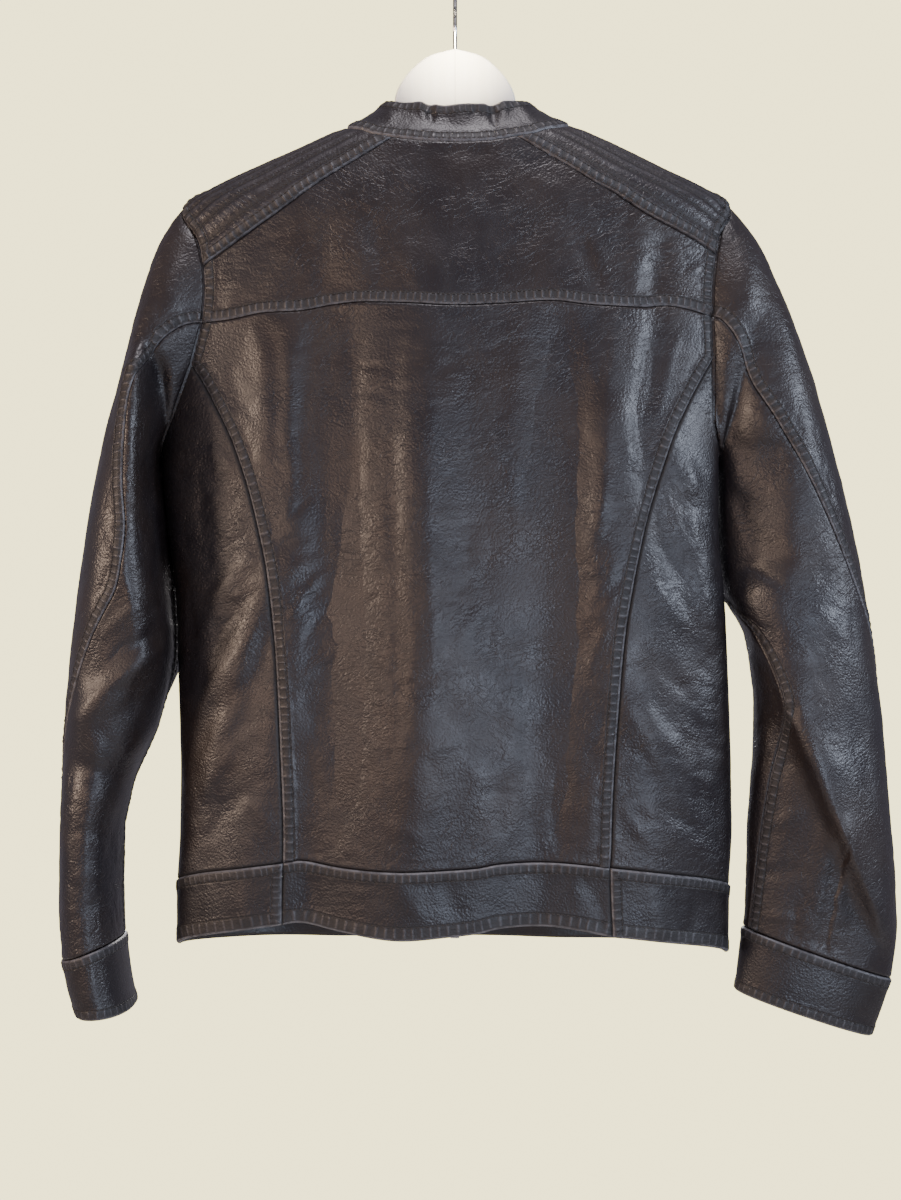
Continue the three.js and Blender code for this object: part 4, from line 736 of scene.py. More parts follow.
# the way over a net from an edge
def walkedFrom(net, edge):
    axis, index, _ = netEdges[edge]
    steps = np.linalg.norm(np.diff(net, axis=axis), axis=2)
    zero = np.zeros_like(np.take(steps, [0], axis=axis))
    away = np.concatenate([zero, np.cumsum(steps, axis=axis)], axis=axis)
    return away if index == 0 else np.take(away, [-1], axis=axis) - away


# 0 at the edges and 1 from a reach inwards
def calmEdges(net, styles, reach):
    return smooth(np.minimum.reduce([walkedFrom(net, edge) for edge in styles]) / reach)


# distance from an edge and way along it, square to the edge, for all the points of a net
def edgeDistance(net, edge):
    axis, index, _ = netEdges[edge]
    away = walkedFrom(net, edge)
    line = np.take(net, index, axis=axis)
    tangent = unit(np.gradient(line, axis=0))
    inward = unit(np.take(net, 3 if index == 0 else -4, axis=axis) - line)
    lean = dot(inward, tangent)
    square = np.sqrt(np.clip(1 - lean**2, 0.2, 1))
    grow = (lambda a: a[:, None]) if axis == 1 else (lambda a: a[None, :])
    return away * grow(square), grow(walked(line)) + away * grow(lean)


# the stitch rows of an edge, taken off the finished outer net
def keepStitches(group, net, normals, distances, edge, style, trim):
    axis = netEdges[edge][0]
    for row in edgeStyles[style]["rows"]:
        line, up = [], []
        for k in range(trim, distances[edge].shape[1 - axis] - trim):
            d = np.take(distances[edge], k, axis=1 - axis)
            points = np.take(net, k, axis=1 - axis)
            n = np.take(normals, k, axis=1 - axis)
            if d[0] > d[-1]:
                d, points, n = d[::-1], points[::-1], n[::-1]
            if row >= d[-1]:
                continue
            line.append(readAlong(row, d, points))
            up.append(readAlong(row, d, n))
        if len(line) > 3:
            stitchRuns.setdefault(group, []).append((np.array(line), unit(np.array(up))))


# a stitch row's pitch and distance that seam coordinates are scaled to
seamScale = {"pitch": 6.8, "row": 8.2}


# the looks of all four edges together: heights, the nearest stitched seam, and a mark of wear and painted
# light: wear with a painted highlight on rolled stitched edges, painted shade beside edges tucked under
# another piece
def dressEdges(net, styles, seed):
    height = np.zeros(net.shape[:2])
    wear = np.zeros(net.shape[:2])
    seamUv = np.full(net.shape[:2] + (2,), 1000.0)
    distances = {}
    for n, (edge, style) in enumerate(styles.items()):
        if style is None:
            continue
        d, way = edgeDistance(net, edge)
        own = seed * 4 + n
        way = seamWay(way, own)
        height += seamHeight(style, d, way, own)
        # a tucked edge gets painted shade (negative values) where the piece over it would shade it; other
        # edges get wear and a painted highlight on the rolled edge
        hidden = style == "tucked"
        near = np.exp(-(d / (2.0 if hidden else 1.5)) ** 2)
        wear = np.where(near > abs(wear), -near if hidden else near, wear)
        if edgeStyles[style]["rows"]:
            nearer = d < seamUv[..., 1]
            pitch, outermost = edgeStyles[style]["pitch"], max(edgeStyles[style]["rows"])
            scaled = [way / pitch * seamScale["pitch"], d * seamScale["row"] / outermost + 0 * way]
            seamUv[nearer] = np.stack(scaled, axis=-1)[nearer]
            # a faint lighter band over the stitched allowance: wear and painted highlight
            wear = np.maximum(wear, 0.08 * smooth(1.4 - d / 8))
        distances[edge] = d
    return height, seamUv, wear, distances


def trimmed(net, normals):
    moved = net.copy()
    for axis, index, inner in netEdges.values():
        line = np.take(net, index, axis=axis)
        inward = unit(np.cross(np.take(normals, index, axis=axis), np.gradient(line, axis=0)))
        toward = np.take(net, inner, axis=axis) - line
        inward *= np.where(dot(inward, toward) < 0, -1, 1)[:, None]
        if axis == 0:
            moved[index] += inward * seamGap / 2
        else:
            moved[:, index] += inward * seamGap / 2
    return moved


# a panel of the body between four seam runs
def bodyPanel(name, edges, size, styles, creases=(), seed=1, slotName="leather", thickness=wall,
              lift=0.0, swell=1.0, shape=None, group="body", sizeOfCell=cell):
    u, v = stations(size[0], sizeOfCell), stations(size[1], sizeOfCell)
    angle, z = patch(*edges, u, v)
    surface = bodyPoint(angle, z)
    normals = bodyNormal(angle, z)
    net = trimmed(surface, normals)
    height, seamUv, wear, distances = dressEdges(net, styles, seed)
    relief = creaseHeight(creases, net) + leatherSwell(net, swell)
    height = height + calmEdges(net, styles, 9) * relief
    if shape:
        extra, extraWearAndPaintedLight = shape(net, u, v)
        height = height + extra
        wear = np.where(abs(extraWearAndPaintedLight) > abs(wear), extraWearAndPaintedLight, wear)
    outer = net + normals * (lift + height)[..., None]
    inner = net[fewer] + normals[fewer] * (lift - thickness)
    for edge, style in styles.items():
        if style:
            keepStitches(group, outer, normals, distances, edge, style, 3)
    wallObject(name, outer, inner, slotName, seamUv, wear)
    return outer, normals, u


def edgeSet(bottom, top, leftEdge, rightEdge):
    return {"bottom": bottom, "top": top, "left": leftEdge, "right": rightEdge}


# materials

def addNode(tree, kind, inputs=None, **settings):
    made = tree.nodes.new(kind)
    for key, value in settings.items():
        setattr(made, key, value)
    for key, value in (inputs or {}).items():
        if isinstance(value, bpy.types.NodeSocket):
            tree.links.new(value, made.inputs[key])
        else:
            made.inputs[key].default_value = value
    return made


def maths(tree, operation, a, b=0.0, clamp=False):
    return addNode(tree, "ShaderNodeMath", {0: a, 1: b}, operation=operation, use_clamp=clamp).outputs[0]


def product(tree, a, b, clamp=False):
    return maths(tree, "MULTIPLY", a, b, clamp)


def total(tree, a, b):
    return maths(tree, "ADD", a, b)


def less(tree, a, b, clamp=False):
    return maths(tree, "SUBTRACT", a, b, clamp)


def larger(tree, a, b):
    return maths(tree, "MAXIMUM", a, b)


def vectorOf(tree, operation, a, b):
    return addNode(tree, "ShaderNodeVectorMath", {0: a, 1: b}, operation=operation).outputs[0]


def joinBump(tree, shader, height, strength, distance):
    inputs = {"Height": height, "Strength": strength, "Distance": distance}
    bump = addNode(tree, "ShaderNodeBump", inputs)
    tree.links.new(bump.outputs["Normal"], shader.inputs["Normal"])


def noiseOf(tree, vector, scale, detail=2.0, rough=0.5):
    inputs = {"Vector": vector, "Scale": scale, "Detail": detail, "Roughness": rough}
    return addNode(tree, "ShaderNodeTexNoise", inputs).outputs["Fac"]


def remap(tree, value, low, high, toLow=0.0, toHigh=1.0):
    inputs = {"Value": value, "From Min": low, "From Max": high, "To Min": toLow, "To Max": toHigh}
    return addNode(tree, "ShaderNodeMapRange", inputs, interpolation_type="SMOOTHSTEP").outputs[0]


def blendColours(tree, share, a, b):
    made = addNode(tree, "ShaderNodeMix", {"Factor": share}, data_type="RGBA")
    for index, colour in ((6, a), (7, b)):
        if isinstance(colour, bpy.types.NodeSocket):
            tree.links.new(colour, made.inputs[index])
        else:
            made.inputs[index].default_value = (*colour, 1)
    return made.outputs[2]


def newGroup(name, inputs, outputs):
    tree = bpy.data.node_groups.new(name, "ShaderNodeTree")
    for label, kind, value in inputs:
        made = tree.interface.new_socket(label, in_out="INPUT", socket_type=kind)
        if value is not None:
            made.default_value = value
    for label in outputs:
        tree.interface.new_socket(label, in_out="OUTPUT", socket_type="NodeSocketFloat")
    start, end = tree.nodes.new("NodeGroupInput"), tree.nodes.new("NodeGroupOutput")
    return tree, start.outputs, end.inputs


# wrinkles run at three slants: degrees, scale, scale of their patches, where a patch begins
wrinkleSets = ((32, 150.0, 15.0, 0.42), (14, 230.0, 22.0, 0.47), (-38, 190.0, 18.0, 0.5))


# pebbled grain with finer wrinkles in patches
def makeGrainGroup():
    tree, given, out = newGroup("leatherGrain", [
        ("Vector", "NodeSocketVector", None), ("Pebbles", "NodeSocketFloat", 440.0),
        ("Wrinkling", "NodeSocketFloat", 1.0)], ["Height", "Tone", "Creases"])
    vector = given["Vector"]
    stirring = {"Vector": vector, "Scale": 70.0, "Detail": 3.0}
    stir = addNode(tree, "ShaderNodeTexNoise", stirring).outputs["Color"]
    small = vectorOf(tree, "MULTIPLY", stir, (0.011, 0.011, 0.011))
    stirred = vectorOf(tree, "ADD", vector, small)
    pebbles = addNode(tree, "ShaderNodeTexVoronoi", {"Vector": vector, "Scale": given["Pebbles"]},
                      feature="SMOOTH_F1").outputs["Distance"]
    fine = noiseOf(tree, vector, 900.0, 2.0, 0.6)
    height = product(tree, less(tree, 1.0, pebbles), 0.8)
    height = total(tree, height, product(tree, fine, 0.35))
    creases = None
    for slant, scale, patches, low in wrinkleSets:
        turned = addNode(tree, "ShaderNodeVectorRotate", {"Vector": stirred, "Angle": math.radians(slant)},
                         rotation_type="Y_AXIS").outputs[0]
        drawn = vectorOf(tree, "MULTIPLY", turned, (0.2, 0.7, 1.0))
        off = maths(tree, "ABSOLUTE", less(tree, noiseOf(tree, drawn, scale, 2.0, 0.5), 0.5))
        patchy = remap(tree, noiseOf(tree, vector, patches, 2.0), low, low + 0.16)
        line = product(tree, remap(tree, off, 0.0, 0.06, 1.0, 0.0), patchy)
        creases = line if creases is None else larger(tree, creases, line)
    creases = product(tree, creases, given["Wrinkling"])
    tree.links.new(less(tree, height, creases), out["Height"])
    tree.links.new(noiseOf(tree, vector, 13.0, 4.0, 0.55), out["Tone"])
    tree.links.new(creases, out["Creases"])
    return tree


# puckers between the stitches, from the way along a seam and the distance from it, with masks for painted
# shade in the channel and the stitch row and for a painted highlight on the rolled edge
def makeLadderGroup():
    tree, given, out = newGroup("seamLadder", [
        ("Vector", "NodeSocketVector", None), ("Pitch", "NodeSocketFloat", 0.0068),
        ("Reach", "NodeSocketFloat", 0.0082)], ["Height", "Rungs", "Channel", "Row", "Edge"])
    parts = addNode(tree, "ShaderNodeSeparateXYZ", {"Vector": given["Vector"]}).outputs
    turns = product(tree, maths(tree, "DIVIDE", parts["X"], given["Pitch"]), 2 * math.pi)
    wave = larger(tree, maths(tree, "SINE", turns), 0.0)
    sharp = maths(tree, "POWER", wave, 2.2)
    near = remap(tree, parts["Y"], 0.0006, 0.0022)
    far = remap(tree, less(tree, given["Reach"], parts["Y"]), -0.0006, 0.0012)
    channel = product(tree, near, far)
    rungs = product(tree, sharp, channel)
    tree.links.new(channel, out["Channel"])
    # the stitch row's groove, for the bump and for painted shade
    rowPlace = total(tree, given["Reach"], 0.0002)
    aside = maths(tree, "ABSOLUTE", less(tree, parts["Y"], rowPlace))
    row = remap(tree, aside, 0.0001, 0.0010, 1.0, 0.0)
    # a thin line just in from the edge, for a painted highlight on the rolled edge
    aside = maths(tree, "ABSOLUTE", less(tree, parts["Y"], 0.0008))
    tree.links.new(remap(tree, aside, 0.0002, 0.0009, 1.0, 0.0), out["Edge"])
    tree.links.new(row, out["Row"])
    tree.links.new(less(tree, rungs, row), out["Height"])
    tree.links.new(rungs, out["Rungs"])
    return tree


grainGroup, ladderGroup = makeGrainGroup(), makeLadderGroup()


def newMaterial(name):
    material = bpy.data.materials.new(name)
    material.use_nodes = True
    return material, material.node_tree, material.node_tree.nodes["Principled BSDF"]


def usedGroup(tree, group, inputs):
    return addNode(tree, "ShaderNodeGroup", inputs, node_tree=group).outputs


def makeLeather(name, look):
    material, tree, shader = newMaterial(name)
    place = addNode(tree, "ShaderNodeTexCoord").outputs["Object"]
    seam = addNode(tree, "ShaderNodeUVMap", uv_map="seam").outputs["UV"]
    worn = addNode(tree, "ShaderNodeAttribute", attribute_name="wear").outputs["Fac"]
    grain = usedGroup(tree, grainGroup, {"Vector": place, "Pebbles": look["pebbles"],
                                         "Wrinkling": look["wrinkling"]})
    ladder = usedGroup(tree, ladderGroup, {"Vector": seam})
    tone = remap(tree, grain["Tone"], 0.3, 0.72)
    colour = blendColours(tree, tone, look["dark"], look["brown"])
    # lighter rungs and edges towards the worn colour: wear and painted highlight on the puckers and rolled
    # edges
    rubbedAndPaintedHighlight = product(tree, ladder["Rungs"], look["rungHighlightAndWear"])
    rubbedAndPaintedHighlight = larger(tree, rubbedAndPaintedHighlight, product(tree, worn, look["edgeWearAndHighlight"]))
    rubbedAndPaintedHighlight = larger(tree, rubbedAndPaintedHighlight, product(tree, ladder["Edge"], look["edgeWearAndHighlight"]))
    patchy = remap(tree, noiseOf(tree, place, 160.0, 3.0), 0.3, 0.62, 0.35, 1.0)
    rubbedAndPaintedHighlight = product(tree, rubbedAndPaintedHighlight, patchy, clamp=True)
    # the channel between the rungs and the stitch row, and the row itself, painted darker: painted shade
    paintedGrooveShade = less(tree, ladder["Channel"], ladder["Rungs"], clamp=True)
    paintedGrooveShade = larger(tree, ladder["Row"], product(tree, paintedGrooveShade, look["channelShade"]))
    colour = blendColours(tree, paintedGrooveShade, colour, look["paintedShade"])
    colour = blendColours(tree, rubbedAndPaintedHighlight, colour, look["worn"])
    # painted shade beside edges tucked under another piece and down the quilting lines
    hidden = product(tree, worn, -look["tuckedEdgeShade"], clamp=True)
    colour = blendColours(tree, hidden, colour, look["paintedShade"])
    # painted shade in the fine wrinkles
    colour = blendColours(tree, product(tree, grain["Creases"], look["wrinkleShade"]), colour, look["paintedShade"])
    tree.links.new(colour, shader.inputs["Base Color"])
    gloss = remap(tree, noiseOf(tree, place, 38.0, 3.0), 0.3, 0.7, look["smooth"], look["rough"])
    gloss = total(tree, gloss, product(tree, rubbedAndPaintedHighlight, 0.08))
    paintedGrooveShade = larger(tree, hidden, product(tree, paintedGrooveShade, 0.6))
    gloss = total(tree, gloss, product(tree, paintedGrooveShade, 0.45))
    tree.links.new(gloss, shader.inputs["Roughness"])
    shader.inputs["Specular IOR Level"].default_value = look["specular"]
    shader.inputs["Coat Weight"].default_value = look["coat"]
    shader.inputs["Coat Roughness"].default_value = look["coatRoughness"]
    height = total(tree, grain["Height"], product(tree, ladder["Height"], look["rungHeight"]))
    joinBump(tree, shader, height, look["bump"], look["bumpHeight"])
    return material


# the lightest colour is for wear and painted highlights; the darkest is painted shade in channels, stitch
# rows, tucked edges and wrinkles
leatherLook = {
    "dark": (0.0085, 0.0064, 0.0082), "brown": (0.0165, 0.0108, 0.0090), "worn": (0.10, 0.098, 0.105),
    "paintedShade": (0.005, 0.004, 0.004), "pebbles": 600.0, "wrinkling": 0.45,
    "channelShade": 0.8, "tuckedEdgeShade": 0.95, "wrinkleShade": 0.35,
    "smooth": 0.37, "rough": 0.47, "specular": 0.53, "coat": 0.04, "coatRoughness": 0.25,
    "bump": 0.75, "bumpHeight": 0.0005, "rungHighlightAndWear": 0.42, "edgeWearAndHighlight": 1.0, "rungHeight": 0.9,
}
doubledLook = dict(leatherLook, dark=(0.0070, 0.0054, 0.0068), brown=(0.0120, 0.0085, 0.0080), wrinkling=0.1,
                   rungHighlightAndWear=0.36, rungHeight=0.6)
leather = makeLeather("grainedLeather", leatherLook)
doubledLeather = makeLeather("doubledLeather", doubledLook)

plainLooks = {
    "thread": dict(colour=(0.03, 0.024, 0.021), roughness=0.62, metallic=0.0, scale=1400.0, bump=0.3),
    "zipTape": dict(colour=(0.010, 0.010, 0.012), roughness=0.85, metallic=0.0, scale=900.0, bump=0.6),
    "zipMetal": dict(colour=(0.52, 0.52, 0.54), roughness=0.26, metallic=1.0, scale=300.0, bump=0.08),
    "hookWire": dict(colour=(0.62, 0.63, 0.65), roughness=0.2, metallic=1.0, scale=120.0, bump=0.05),
}


def makePlain(name, look):
    material, tree, shader = newMaterial(name)
    place = addNode(tree, "ShaderNodeTexCoord").outputs["Object"]
    grain = noiseOf(tree, place, look["scale"], 3.0)
    darker = tuple(c * 0.72 for c in look["colour"])
    colour = blendColours(tree, remap(tree, grain, 0.3, 0.7), darker, look["colour"])
    tree.links.new(colour, shader.inputs["Base Color"])
    low, high = look["roughness"] * 0.85, look["roughness"] * 1.15
    rough = remap(tree, noiseOf(tree, place, look["scale"] / 5), 0.3, 0.7, low, high)
    tree.links.new(rough, shader.inputs["Roughness"])
    shader.inputs["Metallic"].default_value = look["metallic"]
    joinBump(tree, shader, grain, look["bump"], 0.0002)
    return material


thread, zipTape, zipMetal, hookWire = (makePlain(name, look) for name, look in plainLooks.items())


# white paint on wood, with the fine joint between its two halves
woodLook = {
    "shade": (0.80, 0.77, 0.70), "colour": (0.86, 0.84, 0.79), "joint": (0.42, 0.38, 0.32),
    "jointShare": 0.35, "scale": 160.0, "smooth": 0.42, "rough": 0.55, "bump": 0.35, "bumpHeight": 0.0004,
}


def makePaintedWood():
    look = woodLook
    material, tree, shader = newMaterial("paintedWood")
    place = addNode(tree, "ShaderNodeTexCoord").outputs["Object"]
    parts = addNode(tree, "ShaderNodeSeparateXYZ", {"Vector": place}).outputs
    joint = remap(tree, maths(tree, "ABSOLUTE", parts["X"]), 0.00015, 0.0007, 1.0, 0.0)
    long = vectorOf(tree, "MULTIPLY", place, (1.0, 1.0, 0.15))
    grain = noiseOf(tree, long, look["scale"], 4.0)
    colour = blendColours(tree, remap(tree, grain, 0.3, 0.75), look["shade"], look["colour"])
    colour = blendColours(tree, product(tree, joint, look["jointShare"]), colour, look["joint"])
    tree.links.new(colour, shader.inputs["Base Color"])
    rough = remap(tree, grain, 0.3, 0.7, look["smooth"], look["rough"])
    tree.links.new(rough, shader.inputs["Roughness"])
    height = less(tree, product(tree, grain, 0.3), joint)
    joinBump(tree, shader, height, look["bump"], look["bumpHeight"])
    return material


slotMaterials = {
    "leather": leather, "leather_doubled": doubledLeather, "zip_tape": zipTape, "zip_metal": zipMetal,
    "hanger_wood": makePaintedWood(), "hook_wire": hookWire,
}
print("materials made")

# the panels of the body

def topOfYoke():
    return chain((backwards(left["shoulderBack"]), 8), (neckBackRun, 6), (right["shoulderBack"], 8))


bodyPanel("backYoke", (yokeRun, topOfYoke(), backwards(left["armYoke"]), backwards(right["armYoke"])),
          (425, 130), edgeSet("single", "tucked", "lapped", "lapped"), yokeCreases, 1, swell=0.8)


def longEdge(side):
    r = runs[side]
    return backwards(chain((r["armCentre"], 1), (r["princess"], 13)))


backRibs = [
    (-124, -262, -138, -712, 17, 3.0, 3), (-82, -262, -92, -712, 18, -3.2, 3),
    (-14, -262, -28, -715, 28, 4.0, -4), (34, -262, 30, -715, 16, -1.5, 3), (78, -262, 72, -715, 24, -4.2, 4),
    (126, -262, 128, -690, 20, 3.8, -3),
]
bodyPanel("backCentre", (hemRun, yokeRun, longEdge("left"), longEdge("right")), (400, 448),
          edgeSet("tucked", "tucked", "lapped", "lapped"), backRibs + backCreases, 2)
for seed, side in ((3, "left"), (4, "right")):
    r = runs[side]
    edges = (r["hemSide"], r["armSide"], backwards(r["princess"]), backwards(r["sideSeam"]))
    bodyPanel("backSide" + side.title(), edges, (98, 400),
              edgeSet("tucked", "tucked", "tucked", "plain"), sideCreases, seed, swell=1.15)
    outerEdge = backwards(chain((backwards(r["armFront"]), 9), (r["sideSeam"], 13)))
    top = chain((backwards(r["shoulderFront"]), 8), (r["neckFront"], 4))
    edges = (r["hemFront"], top, outerEdge, backwards(r["centreFront"]))
    bodyPanel("front" + side.title(), edges, (226, 590), edgeSet("tucked", "tucked", "plain", "hemmed"),
              frontCreases, seed + 10, group="front")
print("back and fronts made")


# rows of quilting along the shoulder, from the back seam over to the front one
quilt = {"channels": 14, "height": quiltHeight + 0.2, "sink": 0.75, "pucker": 0.18, "pitch": 5.6, "cell": 1.4}


def quiltShape(net, u, v):
    place = u[None, :] * quilt["channels"]
    share = place - np.floor(place)
    round_ = np.clip(1 - (2 * share - 1) ** 2, 0, 1) ** 0.55
    line = 1 - round_
    way = walked(net[:, len(u) // 2])
    way = seamWay(way[:, None] + 0 * share, 40) + 3 * np.floor(place)
    pucker = np.sin(2 * math.pi * way / quilt["pitch"]) * (0.35 + 0.65 * line)
    inside = smooth(np.minimum(v, 1 - v) * 15)[:, None]
    height = inside * (quilt["height"] * round_ - quilt["sink"] * line**3 + quilt["pucker"] * pucker)
    # the returned mark: lighter on the crowns of the puffs (wear and painted highlight), painted shade down
    # the quilting lines
    return height, inside * np.maximum(-1, 0.25 * round_**3 - 1.5 * line**1.4)


for seed, side in ((5, "left"), (6, "right")):
    r = runs[side]
    edges = (r["armShoulder"], r["neckShoulder"], backwards(r["shoulderBack"]), backwards(r["shoulderFront"]))
    net, normals, u = bodyPanel("shoulderQuilted" + side.title(), edges, (128, 172),
                                edgeSet("lapped", "tucked", "lapped", "single"), (), seed, swell=0.5,
                                shape=quiltShape, group="shoulder", sizeOfCell=quilt["cell"])
    for channel in range(1, quilt["channels"]):
        k = int(np.argmin(np.abs(u - channel / quilt["channels"])))
        stitchRuns["shoulder"].append((net[5:-8, k], normals[5:-8, k]))
print("quilted shoulders made")

# hem band

band = {"slotName": "leather_doubled", "thickness": bandWall, "lift": bandLift, "swell": 0.75, "group": "hem"}
bandCreases = [
    (-60, -724, -20, -764, 9, 1.1, 3), (-10, -722, 10, -766, 8, -1.1, -2),
    (60, -722, 44, -770, 10, 1.0, 3), (100, -722, 116, -768, 8, -0.9, 2),
    (-120, -722, -104, -764, 8, -0.9, 2), (150, -735, 166, -780, 9, 0.9, 3),
    (192, -744, 178, -786, 8, -0.9, 2), (-170, -728, -158, -776, 9, 0.9, -2),
    (-200, -735, -210, -780, 8, -0.8, 2),
]
bodyPanel("hemBandBack",
          (bottomRun, hemRun, backwards(left["bandPrincess"]), backwards(right["bandPrincess"])), (262, 52),
          edgeSet("hemmed", "single", "tucked", "tucked"), creases=bandCreases, seed=20, **band)
for seed, side in ((21, "left"), (22, "right")):
    r = runs[side]
    edges = (r["bottomSide"], r["hemSide"], backwards(r["bandPrincess"]), backwards(r["bandSide"]))
    bodyPanel("hemBandSide" + side.title(), edges, (100, 52),
              edgeSet("hemmed", "single", "single", "plain"), creases=bandCreases, seed=seed, **band)
    edges = (r["bottomFront"], r["hemFront"], backwards(r["bandSide"]), backwards(r["bandCentre"]))
    bodyPanel("hemBandFront" + side.title(), edges, (226, 50),
              edgeSet("hemmed", "single", "plain", "single"), seed=seed + 4, **band)
print("hem band made")

# pieces that start at an edge of the body

def edgePlaces(plan, closed, middle):
    angle, z = plan[:, 0] / angleScale, plan[:, 1]
    place, normal = bodyPoint(angle, z), bodyNormal(angle, z)
    if closed:
        along = np.roll(place, -1, axis=0) - np.roll(place, 1, axis=0)
    else:
        along = np.gradient(place, axis=0)
    away = unit(np.cross(normal, along))
    away *= np.where(dot(away, middle - place) < 0, -1, 1)[:, None]
    return place, normal, away


def netNormals(net, closed, middles):
    across = np.gradient(net, axis=1)
    if closed:
        across = np.roll(net, -1, axis=1) - np.roll(net, 1, axis=1)
    normals = unit(np.cross(across, np.gradient(net, axis=0)))
    inwards = dot(normals, net - middles[:, None]) < 0
    return normals * np.where(inwards, -1, 1)[..., None]


# how far a joined piece's outer and inner points are off the bare net at its first row: the
# inner ones turn in under the edge that it is sewn to, as a seam's allowance does
turnedUnder = {"reach": 2.2, "depth": 0.5}


def firstOffsets(normal, away, outward, thickness, lift):
    folded = np.maximum(0, -dot(outward, normal))
    outer = away * seamGap + normal * (lift + foldClear * folded)[:, None]
    inner = -away * turnedUnder["reach"] - normal * (thickness + turnedUnder["depth"])
    return outer, inner


# collar

collar = {
    "middleX": 1, "halfWidth": 57.5, "back": 30, "front": 36, "sideZ": -105, "backDrop": 9, "frontDrop": 36,
    "footHalfWidth": 83, "footHalfDepth": 50, "footZ": -135, "hollow": 2.4, "height": 42,
}
collarCreases = [
    (-25, -100, -21, -132, 4.5, -2.6, 1), (-31, -98, -29, -128, 4, 1.1, 1),
    (-16, -100, -14, -124, 4, 1.0, -1), (31, -98, 30, -134, 4.5, -2.4, -1),
    (38, -98, 38, -128, 4, 1.2, 1), (24, -100, 23, -124, 4, 1.1, -1),
    (-50, -106, -58, -132, 6, 1.0, 2), (52, -104, 62, -128, 6, 1.0, -2),
    (4, -110, 2, -132, 7, 0.8, 1),
]


def makeCollar():
    c = collar
    halves = {}
    for side in ("left", "right"):
        halves[side] = chain((runs[side]["neckBackHalf"], 4), (runs[side]["neckFrontHalf"], 4))
    whole = chain((backwards(left["neckFront"]), 4), (backwards(halves["left"]), 8), (neckBackRun, 6),
                  (halves["right"], 8), (right["neckFront"], 4))
    cuts = [("collarLeftFront", 0, 8 / 30, 62), ("collarBack", 8 / 30, 22 / 30, 215),
            ("collarRightFront", 22 / 30, 1, 62)]
    middle = np.array([c["middleX"], 0, c["footZ"]])
    for seed, (name, start, end, length) in enumerate(cuts):
        u, v = stations(length, 1.9), stations(c["height"], 1.8)
        place, normal, away = edgePlaces(whole(start + (end - start) * u), False, middle)
        aside = (place[:, 0] - c["middleX"]) / c["footHalfWidth"]
        around = np.arctan2(place[:, 1] / c["footHalfDepth"], aside)
        sin, cos = np.sin(around), np.cos(around)
        depth = np.where(sin < 0, c["back"], c["front"])
        drop = np.where(sin < 0, c["backDrop"], c["frontDrop"])
        waves = 0.9 * np.sin(place[:, 0] / 8.5) * np.clip(-sin, 0, 1)
        topZ = c["sideZ"] - drop * sin * sin + waves
        top = np.stack([c["middleX"] + c["halfWidth"] * cos, depth * sin, topZ], axis=-1)
        net = place + (top - place) * v[:, None, None]
        out = net - middle
        out[..., 2] = 0
        net = net - unit(out) * (c["hollow"] * np.sin(math.pi * v))[:, None, None]
        middles = np.stack([0 * v + c["middleX"], 0 * v, -175 + 60 * v], axis=-1)
        normals = netNormals(net, False, middles)
        leftEdge, rightEdge = ("hemmed" if seed == free else "tucked" for free in (0, 2))
        styles = edgeSet("lapped", "single", leftEdge, rightEdge)
        height, seamUv, wear, distances = dressEdges(net, styles, 30 + seed)
        behind = (net[..., 1] < 0) * smooth(walkedFrom(net, "bottom") / 7)
        height = height + calmEdges(net, styles, 8) * leatherSwell(net, 0.6)
        height = height + behind * creaseHeight(collarCreases, net)
        outerFirst, innerFirst = firstOffsets(normal, away, normals[0], bandWall, bandLift)
        ease = np.clip(1 - v * 3, 0, 1)[:, None, None]
        outer = net + normals * bandLift * (1 - ease) + outerFirst * ease + normals * height[..., None]
        inner = (net - normals * (bandWall - bandLift) * (1 - ease) + innerFirst * ease)[fewer]
        for edge in ("bottom", "top"):
            keepStitches("collar", outer, normals, distances, edge, styles[edge], 3)
        wallObject(name, outer, inner, "leather_doubled", seamUv, wear)


makeCollar()
print("collar made")

# sleeves

hindColumn, underarmColumn, innerColumn, loopColumns = 8, 14, 18, 27


def sleeveSection(rows, at):
    table = np.column_stack([np.arange(len(rows)), np.array(rows, float)])
    outX, outZ, inX, inZ, back, front, outY, inY = (readRows(table, k, at) for k in range(1, 9))
    return np.stack([outX, outY, outZ], -1), np.stack([inX, inY, inZ], -1), back, front


def sectionPoint(section, angle):
    outer, inner, back, front = section
    cos = signedPower(np.cos(angle), 2 / sleevePower)
    sin = signedPower(np.sin(angle), 2 / sleevePower)
    point = (outer + inner) / 2 + (outer - inner) / 2 * cos[..., None]
    point[..., 1] -= np.where(sin > 0, back, front) * sin
    return point


def sleeveFoldHeight(folds, x, z):
    height = 0
    for fromX, fromZ, toX, toZ, rise, easy, steep, falls in folds:
        length = math.hypot(toX - fromX, toZ - fromZ)
        ux, uz = (toX - fromX) / length, (toZ - fromZ) / length
        t = (x - fromX) * ux + (z - fromZ) * uz
        past = np.maximum(0, np.maximum(-t, t - length))
        beside = ((z - fromZ) * ux - (x - fromX) * uz) * falls
        reach = np.where(beside > 0, steep, easy)
        height = height + rise * np.exp(-(beside / reach) ** 2) * smooth(1 - past / sleeveFoldFade)
    return height


